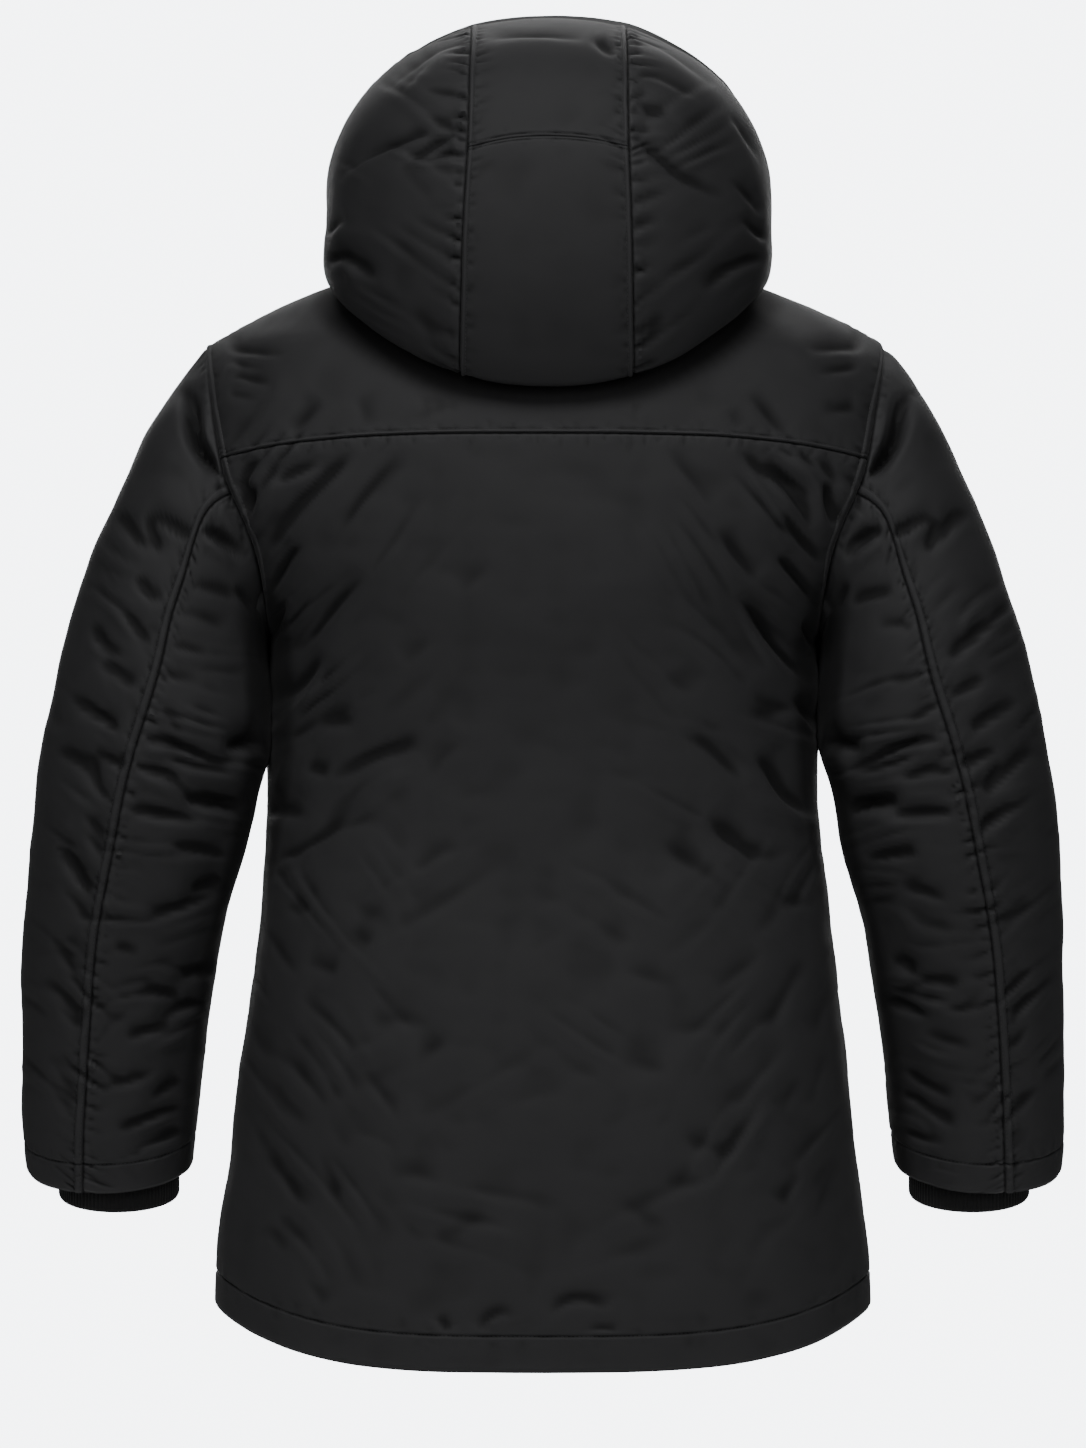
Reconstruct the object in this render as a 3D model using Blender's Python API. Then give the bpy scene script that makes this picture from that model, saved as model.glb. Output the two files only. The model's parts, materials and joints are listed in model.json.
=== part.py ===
"""A hooded parka in black padded cloth, zipped closed and filled out as it is worn.

+Z is up, +X is the wearer's left and +Y is the wearer's back. The origin is between the two
shoulder seams where they meet the neck, where the wearer's shoulders carry the coat.

The coat is three forms: a body, two sleeves and a hood. Each form is a grid of points worked
out from a short table of rows. The grids are cut along the seams into the pieces that a maker
would sew together, and each piece is a closed wall of padded cloth.
"""

import math
from collections import namedtuple

import bmesh
import bpy
import numpy as np

# ---------------------------------------------------------------- driving dimensions, in metres
PADDED_WALL = 0.006
HOOD_WALL = 0.005
RIB_WALL = 0.0025
SEAM_PULL = 0.0002
NECK_SEAM_GAP = 0.0006
ARMHOLE_SEAM_GAP = 0.0003
ZIP_GAP_HALF = 0.007

BODY_COLUMNS_BACK = 8
BODY_COLUMNS_FRONT = 8
HOOD_SEAM_COLUMN = 4
ROW_SAMPLES = 241
SHARP_DEGREES = 50

BACK_EDGE_DROP_POWER = 3.8
FRONT_EDGE_DROP_POWER = 2.4

# ---------------------------------------------------------------- the body, a row for each level
# back_* and front_* are on the centre lines. rear_* is the back panel's side edge and fore_* is
# the front's. They are one line at the side seam and the shoulder seam, and two at the armhole.
# squareness and roundness shape the row between the centre line and the edge.
BodyRow = namedtuple(
    "BodyRow",
    "name back_y back_z rear_x rear_y rear_z fore_x fore_y fore_z front_y front_z"
    " squareness roundness",
)
BODY_ROWS = [
    BodyRow("hem", 0.150, -0.8495, 0.2515, 0.000, -0.8115,
            0.2515, 0.000, -0.8115, -0.150, -0.822, 2.4, 0.42),
    BodyRow("hem_stitch", 0.151, -0.8220, 0.2505, 0.000, -0.7850,
            0.2505, 0.000, -0.7850, -0.148, -0.795, 2.4, 0.42),
    BodyRow("skirt", 0.148, -0.7200, 0.2412, -0.003, -0.7000,
            0.2412, -0.003, -0.7000, -0.146, -0.700, 2.4, 0.42),
    BodyRow("hip", 0.142, -0.5800, 0.2275, -0.008, -0.5700,
            0.2275, -0.008, -0.5700, -0.145, -0.570, 2.4, 0.42),
    BodyRow("waist", 0.135, -0.4300, 0.2125, -0.014, -0.4250,
            0.2125, -0.014, -0.4250, -0.147, -0.425, 2.4, 0.42),
    BodyRow("low_chest", 0.140, -0.3400, 0.2130, -0.018, -0.3400,
            0.2130, -0.018, -0.3400, -0.152, -0.340, 2.4, 0.42),
    BodyRow("armpit", 0.146, -0.2950, 0.2105, -0.012, -0.3050,
            0.2105, -0.012, -0.3050, -0.153, -0.300, 2.4, 0.42),
    BodyRow("armhole_low", 0.150, -0.2620, 0.2125, 0.052, -0.2720,
            0.2090, -0.058, -0.2720, -0.152, -0.272, 2.4, 0.60),
    BodyRow("armhole_mid", 0.151, -0.2320, 0.2195, 0.080, -0.2320,
            0.2150, -0.078, -0.2320, -0.150, -0.240, 2.4, 0.72),
    BodyRow("sleeve_seam", 0.150, -0.1970, 0.2362, 0.084, -0.1920,
            0.2240, -0.083, -0.1950, -0.147, -0.210, 2.4, 0.75),
    BodyRow("yoke_seam", 0.146, -0.1500, 0.2445, 0.078, -0.1665,
            0.2320, -0.080, -0.1650, -0.143, -0.185, 2.4, 0.75),
    BodyRow("blade", 0.139, -0.1200, 0.2510, 0.062, -0.1320,
            0.2420, -0.068, -0.1300, -0.139, -0.162, 2.4, 0.70),
    BodyRow("cap", 0.130, -0.0950, 0.2565, 0.036, -0.1000,
            0.2520, -0.045, -0.1000, -0.135, -0.143, 2.4, 0.62),
    BodyRow("shoulder_point", 0.120, -0.0750, 0.2590, -0.004, -0.0757,
            0.2590, -0.004, -0.0757, -0.131, -0.125, 2.4, 0.52),
    BodyRow("shoulder_mid", 0.108, -0.0580, 0.2135, -0.005, -0.0515,
            0.2135, -0.005, -0.0515, -0.127, -0.112, 2.4, 0.50),
    BodyRow("shoulder_in", 0.092, -0.0380, 0.1500, -0.004, -0.0245,
            0.1500, -0.004, -0.0245, -0.123, -0.098, 2.3, 0.47),
    BodyRow("neck", 0.072, -0.0200, 0.0920, -0.003, 0.0000,
            0.0920, -0.003, 0.0000, -0.120, -0.085, 2.2, 0.4545),
]
# Faceted rows built between one named row and the next.
BODY_STEPS = {
    "hem": 1, "hem_stitch": 2, "skirt": 2, "hip": 2, "waist": 2, "low_chest": 1,
    "armpit": 1, "armhole_low": 1, "armhole_mid": 1, "sleeve_seam": 1, "yoke_seam": 1,
    "blade": 1, "cap": 2, "shoulder_point": 1, "shoulder_mid": 2, "shoulder_in": 1,
}

# ---------------------------------------------------------------- the left sleeve, a row a station
# A ring runs from its inner point round the back to its outer point and on round the front.
# Angles count from the inner point. The armhole itself is the first ring.
SleeveRow = namedtuple(
    "SleeveRow", "outer_x outer_z inner_x inner_z centre_y depth tilt back_seam front_seam"
)
SLEEVE_ROWS = [
    SleeveRow(0.2915, -0.1170, 0.2130, -0.3180, 0.004, 0.088, 0.00, 95, 304),
    SleeveRow(0.3215, -0.1755, 0.2132, -0.3310, 0.012, 0.086, 0.00, 92, 304),
    SleeveRow(0.3430, -0.2260, 0.2128, -0.3460, 0.018, 0.084, 0.02, 92, 304),
    SleeveRow(0.3577, -0.2710, 0.2124, -0.3630, 0.022, 0.081, 0.04, 92, 304),
    SleeveRow(0.3733, -0.3300, 0.2124, -0.3860, 0.024, 0.078, 0.06, 95, 304),
    SleeveRow(0.3845, -0.3865, 0.2195, -0.4120, 0.021, 0.075, 0.09, 98, 304),
    SleeveRow(0.3942, -0.4558, 0.2280, -0.4580, 0.010, 0.072, 0.14, 101, 304),
    SleeveRow(0.3995, -0.5100, 0.2410, -0.5030, -0.002, 0.068, 0.20, 103, 304),
    SleeveRow(0.4020, -0.5700, 0.2535, -0.5650, -0.016, 0.063, 0.26, 104, 304),
    SleeveRow(0.4032, -0.6300, 0.2630, -0.6250, -0.031, 0.058, 0.31, 105, 304),
    SleeveRow(0.4030, -0.6870, 0.2695, -0.6820, -0.045, 0.054, 0.35, 106, 304),
    SleeveRow(0.4015, -0.7120, 0.2725, -0.7080, -0.050, 0.052, 0.36, 107, 304),
]
SLEEVE_STEPS = [1, 1, 1, 2, 2, 2, 2, 2, 2, 2, 1, 1]
ARMHOLE_FRONT_SEAM_ROW = "armhole_mid"

# ---------------------------------------------------------------- the hood, a row for each ring
# A ring is a closed oval in a plane that turns from level at the neck to upright at the face.
# chin_* is its lowest front point and crown_* is the point farthest from the chin, on the
# centre line. lift raises its sides, widest is where it is widest, from crown to chin, and
# lean is how far the worn hood sits over to the wearer's left (+X) or right.
HoodRow = namedtuple(
    "HoodRow",
    "chin_y chin_z crown_y crown_z half_width lift widest squareness panel_half lean",
)
HOOD_ROWS = [
    HoodRow(-0.1215, -0.078, 0.118, -0.0540, 0.1280, 0.061, 0.50, 2.20, 0.0610, -0.0010),
    HoodRow(-0.1230, -0.070, 0.152, -0.1140, 0.1640, 0.064, 0.38, 2.30, 0.0650, -0.0020),
    HoodRow(-0.1240, -0.063, 0.180, -0.0620, 0.1705, 0.046, 0.42, 2.40, 0.0640, -0.0021),
    HoodRow(-0.1250, -0.056, 0.191, -0.0040, 0.1705, 0.026, 0.44, 2.40, 0.0626, -0.0024),
    HoodRow(-0.1262, -0.048, 0.187, 0.0600, 0.1700, 0.010, 0.45, 2.40, 0.0600, -0.0030),
    HoodRow(-0.1272, -0.041, 0.168, 0.1080, 0.1695, 0.006, 0.47, 2.35, 0.0592, -0.0034),
    HoodRow(-0.1280, -0.034, 0.130, 0.1450, 0.1655, 0.003, 0.50, 2.30, 0.0588, -0.0037),
    HoodRow(-0.1286, -0.027, 0.077, 0.1660, 0.1630, 0.000, 0.53, 2.25, 0.0588, -0.0037),
    HoodRow(-0.1292, -0.020, 0.018, 0.1735, 0.1620, 0.000, 0.56, 2.20, 0.0590, -0.0037),
    HoodRow(-0.1296, -0.012, -0.038, 0.1770, 0.1620, 0.000, 0.58, 2.25, 0.0596, -0.0037),
    HoodRow(-0.1300, -0.004, -0.076, 0.1810, 0.1625, 0.000, 0.59, 2.30, 0.0603, -0.0037),
    HoodRow(-0.1320, 0.003, -0.107, 0.1940, 0.1650, 0.000, 0.60, 2.35, 0.0610, -0.0037),
]
HOOD_LIFT_FORWARD = 0.65
HOOD_CROSS_ARCH = 0.14
HOOD_CROSS_ARCH_REACH = 1.2
HOOD_LEAN_FADE_COLUMNS = 6
HOOD_CROSS_SEAM_ROW = 5
HOOD_BRIM_ROW = 11

# ---------------------------------------------------------------- folds large enough to be cut in
# Each runs between two points as seen from behind, on the wearer's left; the right mirrors it.
Fold = namedtuple("Fold", "from_x from_z to_x to_z width depth")
LARGE_FOLDS = [
    Fold(0.270, -0.112, 0.252, -0.175, 0.016, 0.0060),
    Fold(0.266, -0.212, 0.236, -0.242, 0.014, 0.0060),
    Fold(0.308, -0.378, 0.236, -0.402, 0.014, 0.0050),
    Fold(0.284, -0.428, 0.228, -0.430, 0.014, 0.0050),
    Fold(0.330, -0.520, 0.262, -0.535, 0.014, 0.0030),
    Fold(0.335, -0.590, 0.276, -0.600, 0.014, 0.0025),
    Fold(0.215, -0.200, 0.160, -0.120, 0.018, 0.0025),
    Fold(0.205, -0.400, 0.150, -0.300, 0.018, 0.0030),
    Fold(0.200, -0.520, 0.130, -0.640, 0.018, 0.0025),
]

# ---------------------------------------------------------------- the rib cuff inside the sleeve
CUFF_JOIN_STATION = 10.0
CUFF_JOIN_SPREAD = 0.2
CUFF_CENTRE_X = 0.3310
CUFF_HALF_WIDTH = 0.0470
CUFF_HALF_DEPTH = 0.0380
CUFF_CENTRE_Y = -0.0500
CUFF_TILT = 0.30
CUFF_TOP_Z = -0.6900
CUFF_BOTTOM_Z = -0.7325
CUFF_JOIN_GAP = 0.0008

# ---------------------------------------------------------------- the zip, depths from the cloth
TAPE_SPLIT_HALF = 0.0004
TAPE_UNDER_CLOTH = 0.012
TAPE_THICK = 0.0008
TAPE_GAP = 0.0006
CHAIN_HALF_WIDTH = 0.0030
CHAIN_THICK = 0.0026
CHAIN_GAP = 0.0003
ZIP_BOTTOM_CLEAR = 0.008
ZIP_TOP_CLEAR = 0.006

SLIDER_Z = -0.030
SLIDER_HALF_WIDTH = 0.0046
SLIDER_HALF_LENGTH = 0.0062
SLIDER_THICK = 0.0016
SLIDER_GAP = 0.0004
BRIDGE_HALF_WIDTH = 0.0008
BRIDGE_HALF_LENGTH = 0.0036
BRIDGE_POST = 0.0010
BRIDGE_CLEAR = 0.0019
BRIDGE_THICK = 0.0010
PULL_BAR_RADIUS = 0.0006
PULL_BAR_SIDES = 8
PULL_AXIS_DROP = 0.0016
PULL_HALF_WIDTH = 0.0034
PULL_ARM = 0.0012
PULL_ARM_LENGTH = 0.0068
PULL_LENGTH = 0.0280
PULL_THICK = 0.0012
PULL_CHAMFER = 0.002

MATERIALS = {
    "shell_cloth": {"colour": (0.016, 0.016, 0.018), "roughness": 0.62, "metallic": 0.0},
    "rib_knit": {"colour": (0.012, 0.012, 0.013), "roughness": 0.92, "metallic": 0.0},
    "zip_tape": {"colour": (0.014, 0.014, 0.015), "roughness": 0.85, "metallic": 0.0},
    "zip_metal": {"colour": (0.060, 0.060, 0.065), "roughness": 0.38, "metallic": 1.0},
}


# ---------------------------------------------------------------- curves and grids
def spline(keys, values, at):
    """Points at the parameters `at` of a natural cubic spline through rows of values."""
    keys = np.asarray(keys, float)
    values = np.asarray(values, float)
    count = len(keys)
    step = np.diff(keys)
    slope = np.diff(values, axis=0) / step[:, None]
    matrix = np.eye(count)
    right = np.zeros_like(values)
    for i in range(1, count - 1):
        matrix[i, i - 1:i + 2] = step[i - 1], 2 * (step[i - 1] + step[i]), step[i]
        right[i] = 6 * (slope[i] - slope[i - 1])
    bend = np.linalg.solve(matrix, right)
    at = np.atleast_1d(np.asarray(at, float))
    i = np.clip(np.searchsorted(keys, at, side="right") - 1, 0, count - 2)
    before = ((at - keys[i]) / step[i])[:, None]
    after = 1 - before
    curve = (after**3 - after) * bend[i] + (before**3 - before) * bend[i + 1]
    return after * values[i] + before * values[i + 1] + curve * step[i][:, None]**2 / 6


def distances(points):
    """Length run along a line of points, from its first point."""
    steps = np.linalg.norm(np.diff(points, axis=0), axis=1)
    return np.concatenate([[0.0], np.cumsum(steps)])


def between(run, values, lengths):
    """Rows of three values at the given lengths, from rows that lie at the lengths in run."""
    return np.stack([np.interp(lengths, run, values[:, axis]) for axis in range(3)], axis=1)


def along(points, lengths):
    """Points of a dense line at the given lengths from its start."""
    return between(distances(points), points, lengths)


def steps_between(keys, counts):
    """Parameters with the given count of equal steps in each interval of the keys."""
    values = [keys[0]]
    for low, high, count in zip(keys[:-1], keys[1:], counts):
        values += [low + (high - low) * (i + 1) / count for i in range(count)]
    return np.array(values)


def unit(vectors):
    return vectors / np.maximum(np.linalg.norm(vectors, axis=-1, keepdims=True), 1e-12)


def grid_normals(points, closed=False):
    """Outward normals of a grid whose rows go up and whose columns go clockwise from above."""
    up = np.gradient(points, axis=0)
    if closed:
        ahead = np.roll(points, -1, axis=1)
        behind = np.roll(points, 1, axis=1)
        across = (ahead - behind) / 2
    else:
        across = np.gradient(points, axis=1)
    return unit(np.cross(up, across))


def mirrored(grid):
    """The other side's grid, with its columns in the order that keeps its faces outward."""
    flipped = grid[:, ::-1].copy()
    flipped[..., 0] *= -1
    return flipped


# ---------------------------------------------------------------- the body's form
def row_value(name, *fields):
    return np.array([[getattr(row, f"{name}_{field}") for field in fields] for row in BODY_ROWS])


def body_parameters():
    """How far up the body each named row is: the mean of its run at the centre and the side."""
    centre = row_value("back", "y", "z")
    edge = row_value("rear", "x", "y", "z")
    return (distances(centre) + distances(edge)) / 2


BODY_KEYS = body_parameters()
ROW_INDEX = {row.name: i for i, row in enumerate(BODY_ROWS)}
EDGE_BREAKS = [0, ROW_INDEX["armpit"], ROW_INDEX["shoulder_point"], len(BODY_ROWS) - 1]


def body_edge(which, at):
    """The side edge of the back (rear) or the front (fore), cornered at armpit and shoulder."""
    values = row_value(which, "x", "y", "z")
    result = np.zeros((len(at), 3))
    for low, high in zip(EDGE_BREAKS[:-1], EDGE_BREAKS[1:]):
        inside = (at >= BODY_KEYS[low] - 1e-9) & (at <= BODY_KEYS[high] + 1e-9)
        part = slice(low, high + 1)
        result[inside] = spline(BODY_KEYS[part], values[part], at[inside])
    return result


def body_row(centre, edge, squareness, roundness, power):
    """A dense line from the centre line to the side edge."""
    turn = np.linspace(0, math.pi / 2, ROW_SAMPLES)
    x = np.sin(turn) ** (2 / squareness)
    y = np.maximum(np.cos(turn), 0) ** (2 * roundness)
    line_x = edge[0] * x
    line_y = edge[1] + (centre[0] - edge[1]) * y
    line_z = centre[1] + (edge[2] - centre[1]) * x**power
    return np.stack([line_x, line_y, line_z], axis=1)


def body_grid(face, at, columns):
    """Half of the back or front, from its centre line or zip edge out to its side edge."""
    centres = spline(BODY_KEYS, row_value(face, "y", "z"), at)
    edges = body_edge("rear" if face == "back" else "fore", at)
    shape = np.array([[row.squareness, row.roundness] for row in BODY_ROWS])
    shapes = np.stack([np.interp(at, BODY_KEYS, shape[:, i]) for i in range(2)], axis=1)
    power = BACK_EDGE_DROP_POWER if face == "back" else FRONT_EDGE_DROP_POWER
    rows = []
    for centre, edge, (squareness, roundness) in zip(centres, edges, shapes):
        line = body_row(centre, edge, squareness, roundness, power)
        first = 0.0 if face == "back" else ZIP_GAP_HALF
        rows.append(along(line, np.linspace(first, distances(line)[-1], columns + 1)))
    return np.array(rows)


# ---------------------------------------------------------------- the sleeve's form
def sleeve_ring(row, columns):
    """One ring of the left sleeve at the given shares of the armhole, 0 at the armpit."""
    seams = armhole_seam_shares()
    angles = np.interp(columns, [0, seams[0], 0.5, seams[1], 1],
                       [0, row.back_seam, 180, row.front_seam, 360])
    turn = np.radians(angles)
    outer = np.array([row.outer_x, row.centre_y, row.outer_z])
    inner = np.array([row.inner_x, row.centre_y, row.inner_z])
    centre = (outer + inner) / 2
    to_inner = (inner - outer) / 2
    to_back = np.array([0.0, row.depth, -row.depth * row.tilt])
    return centre + np.outer(np.cos(turn), to_inner) + np.outer(np.sin(turn), to_back)


def armhole_seam_shares():
    """Shares of the armhole, round from the armpit, where the sleeve's two seams start."""
    low = BODY_KEYS[ROW_INDEX["armpit"]]
    high = BODY_KEYS[ROW_INDEX["shoulder_point"]]
    back = (BODY_KEYS[ROW_INDEX["sleeve_seam"]] - low) / (high - low)
    front = (BODY_KEYS[ROW_INDEX[ARMHOLE_FRONT_SEAM_ROW]] - low) / (high - low)
    return 0.5 * back, 1 - 0.5 * front


def armhole_loop(columns):
    low = BODY_KEYS[ROW_INDEX["armpit"]]
    high = BODY_KEYS[ROW_INDEX["shoulder_point"]]
    back = columns <= 0.5
    at = np.where(back, low + (high - low) * 2 * columns, low + (high - low) * 2 * (1 - columns))
    loop = body_edge("fore", at)
    loop[back] = body_edge("rear", at)[back]
    return loop


def sleeve_keys():
    middles = [armhole_loop(np.linspace(0, 1, 33)[:-1]).mean(axis=0)]
    for row in SLEEVE_ROWS:
        middle_x = (row.outer_x + row.inner_x) / 2
        middle_z = (row.outer_z + row.inner_z) / 2
        middles.append(np.array([middle_x, row.centre_y, middle_z]))
    return distances(np.array(middles))


def sleeve_grid(columns, at):
    """The left sleeve from the cuff up to the armhole, at shares of the armhole."""
    rings = [armhole_loop(columns)] + [sleeve_ring(row, columns) for row in SLEEVE_ROWS]
    rings = np.array(rings)
    keys = sleeve_keys()
    lines = [spline(keys, rings[:, i], at) for i in range(len(columns))]
    return np.stack(lines, axis=1)[::-1]


# ---------------------------------------------------------------- the hood's form
def hood_ring(row, columns_back, columns_front, seam_column):
    """Half of a ring, from the centre line at the back or crown round to the zip edge."""
    turn = np.linspace(0, math.pi, ROW_SAMPLES)
    side = np.sin(turn).clip(0)
    share = (1 - np.cos(turn)) / 2 + (row.widest - 0.5) * side**2
    lift = row.lift * side**2 * (1 + HOOD_LIFT_FORWARD * np.maximum(-np.cos(turn), 0))
    x = row.half_width * side ** (2 / row.squareness)
    y = row.crown_y + (row.chin_y - row.crown_y) * share
    z = row.crown_z + (row.chin_z - row.crown_z) * share + lift
    line = np.stack([x, y, z], axis=1)
    run = distances(line)
    upper_half = turn <= math.pi / 2
    seam = np.interp(row.panel_half, x[upper_half], run[upper_half])
    centre_part = np.linspace(0, seam, seam_column + 1)
    side_columns = columns_back + columns_front - seam_column
    side_part = np.linspace(seam, run[-1] - ZIP_GAP_HALF, side_columns + 1)[1:]
    return along(line, np.concatenate([centre_part, side_part]))


def hood_grid(neck_line, columns_back, columns_front, seam_column, at):
    """The left half of the hood, from the neck seam to the face edge, before it leans."""
    rings = [neck_line]
    rings += [hood_ring(row, columns_back, columns_front, seam_column) for row in HOOD_ROWS]
    rings = np.array(rings)
    keys = distances(rings[:, :seam_column].mean(axis=1)) + distances(rings[:, columns_back])
    near_seam = np.exp(-((at - HOOD_CROSS_SEAM_ROW) / HOOD_CROSS_ARCH_REACH) ** 2)
    lines = []
    for i in range(rings.shape[1]):
        arch = HOOD_CROSS_ARCH * max(0.0, 1 - (i / seam_column) ** 2)
        arched = np.interp(at + arch * near_seam, range(len(keys)), keys)
        lines.append(spline(keys, rings[:, i], arched))
    return np.stack(lines, axis=1)


def hood_lean(at):
    """How far each ring sits over to one side, none at the neck seam nor at the chin."""
    leans = [0.0] + [row.lean for row in HOOD_ROWS]
    return np.interp(at, range(len(leans)), leans)


# ---------------------------------------------------------------- folds
def folded(points, normals):
    """Points pressed in along the large folds, on the side that faces back."""
    pressed = np.zeros(points.shape[:2])
    for fold in LARGE_FOLDS:
        for side in (1, -1):
            start = np.array([fold.from_x * side, fold.from_z])
            end = np.array([fold.to_x * side, fold.to_z])
            run = end - start
            flat = points[..., [0, 2]] - start
            share = np.clip((flat @ run) / (run @ run), 0, 1)
            away = np.linalg.norm(flat - share[..., None] * run, axis=-1)
            pressed += fold.depth * np.exp(-((away / fold.width) ** 2))
    facing = np.clip(normals[..., 1], 0, 1)
    return points - normals * (pressed * facing)[..., None]


# ---------------------------------------------------------------- closed walls from grids
def pulled_in(points, closed, amount=SEAM_PULL):
    """The grid with its border points moved a little way in from the seam."""
    result = points.copy()
    result[0] += amount * unit(points[1] - points[0])
    result[-1] += amount * unit(points[-2] - points[-1])
    if not closed:
        result[:, 0] += amount * unit(points[:, 1] - points[:, 0])
        result[:, -1] += amount * unit(points[:, -2] - points[:, -1])
    return result


def rim(low, high, count, flip):
    """The two triangles of a rim between two outer points and the inner points under them."""
    triangles = [(low, high, count + low), (high, count + high, count + low)]
    return [triangle[::-1] for triangle in triangles] if flip else triangles


def wall(name, slot, points, normals, thickness, closed=False):
    """One closed wall of cloth: its outer face is the grid and its inner face is moved in.

    Every rim quad is split on the same diagonal, so two rims that face each other across a
    seam have the same facets.
    """
    rows, columns = points.shape[:2]
    outer = pulled_in(points, closed)
    inner = outer - normals * np.broadcast_to(thickness, (rows, columns))[..., None]
    count = rows * columns
    vertices = np.concatenate([outer.reshape(-1, 3), inner.reshape(-1, 3)])

    def at(row, column):
        return row * columns + column % columns

    faces = []
    last = columns if closed else columns - 1
    for row in range(rows - 1):
        for column in range(last):
            corners = (at(row, column), at(row + 1, column),
                       at(row + 1, column + 1), at(row, column + 1))
            faces.append(corners)
            faces.append(tuple(count + corner for corner in reversed(corners)))
    for column in range(last):
        faces += rim(at(0, column), at(0, column + 1), count, False)
        faces += rim(at(rows - 1, column), at(rows - 1, column + 1), count, True)
    if not closed:
        for row in range(rows - 1):
            faces += rim(at(row, 0), at(row + 1, 0), count, True)
            faces += rim(at(row, columns - 1), at(row + 1, columns - 1), count, False)
    return piece(name, slot, vertices, faces, smooth=True)


def piece(name, slot, vertices, faces, smooth=False, origin=(0.0, 0.0, 0.0)):
    """An object with its mesh, its origin and its material."""
    mesh = bpy.data.meshes.new(name)
    shifted = np.asarray(vertices, float) - np.asarray(origin, float)
    mesh.from_pydata([tuple(v) for v in shifted], [], [tuple(f) for f in faces])
    mesh.materials.append(material(slot))
    if smooth:
        mesh.shade_smooth()
        mesh.set_sharp_from_angle(angle=math.radians(SHARP_DEGREES))
    built = bpy.data.objects.new(name, mesh)
    built.location = origin
    bpy.context.scene.collection.objects.link(built)
    return built


def material(slot):
    found = bpy.data.materials.get(slot)
    if found:
        return found
    made = bpy.data.materials.new(slot)
    made.use_nodes = True
    shader = made.node_tree.nodes["Principled BSDF"]
    values = MATERIALS[slot]
    shader.inputs["Base Color"].default_value = (*values["colour"], 1.0)
    shader.inputs["Roughness"].default_value = values["roughness"]
    shader.inputs["Metallic"].default_value = values["metallic"]
    return made


def box(name, slot, loops, origin=(0.0, 0.0, 0.0)):
    """A solid swept through loops of the same count of corners, with flat ends."""
    sides = len(loops[0])
    vertices = np.concatenate(loops)
    faces = [tuple(range(sides))[::-1]]
    for i in range(len(loops) - 1):
        for j in range(sides):
            k = (j + 1) % sides
            faces.append((i * sides + j, i * sides + k, (i + 1) * sides + k, (i + 1) * sides + j))
    faces.append(tuple((len(loops) - 1) * sides + j for j in range(sides)))
    built = piece(name, slot, vertices, faces, origin=origin)
    shape = bmesh.new()
    shape.from_mesh(built.data)
    bmesh.ops.recalc_face_normals(shape, faces=shape.faces)
    shape.to_mesh(built.data)
    shape.free()
    return built


# ---------------------------------------------------------------- the pieces
def blended_seam(own, other, inward):
    """Seam normals: shared where the seam is a ridge, a piece's own where it is a valley."""
    ridge = (np.sum(-inward * other, axis=-1) > 0)[..., None]
    return np.where(ridge, unit(own + other), own)


def armhole_normals(own_rear, own_fore, rear_in, fore_in, ring):
    """Normals of both halves of the armhole, and the sleeve's first ring set to match them."""
    count = len(own_rear)
    ring_fore = np.concatenate([ring[count - 1:], ring[:1]])[::-1]
    rear_seam = blended_seam(own_rear, ring[:count], rear_in)
    fore_seam = blended_seam(own_fore, ring_fore, fore_in)
    rear_ridge = np.any(rear_seam != own_rear, axis=1)
    fore_ridge = np.any(fore_seam != own_fore, axis=1)
    for i in range(count):
        if rear_ridge[i]:
            ring[i] = rear_seam[i]
        if fore_ridge[i] and 0 < i < count - 1:
            ring[len(ring) - i] = fore_seam[i]
    return rear_seam, fore_seam


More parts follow.
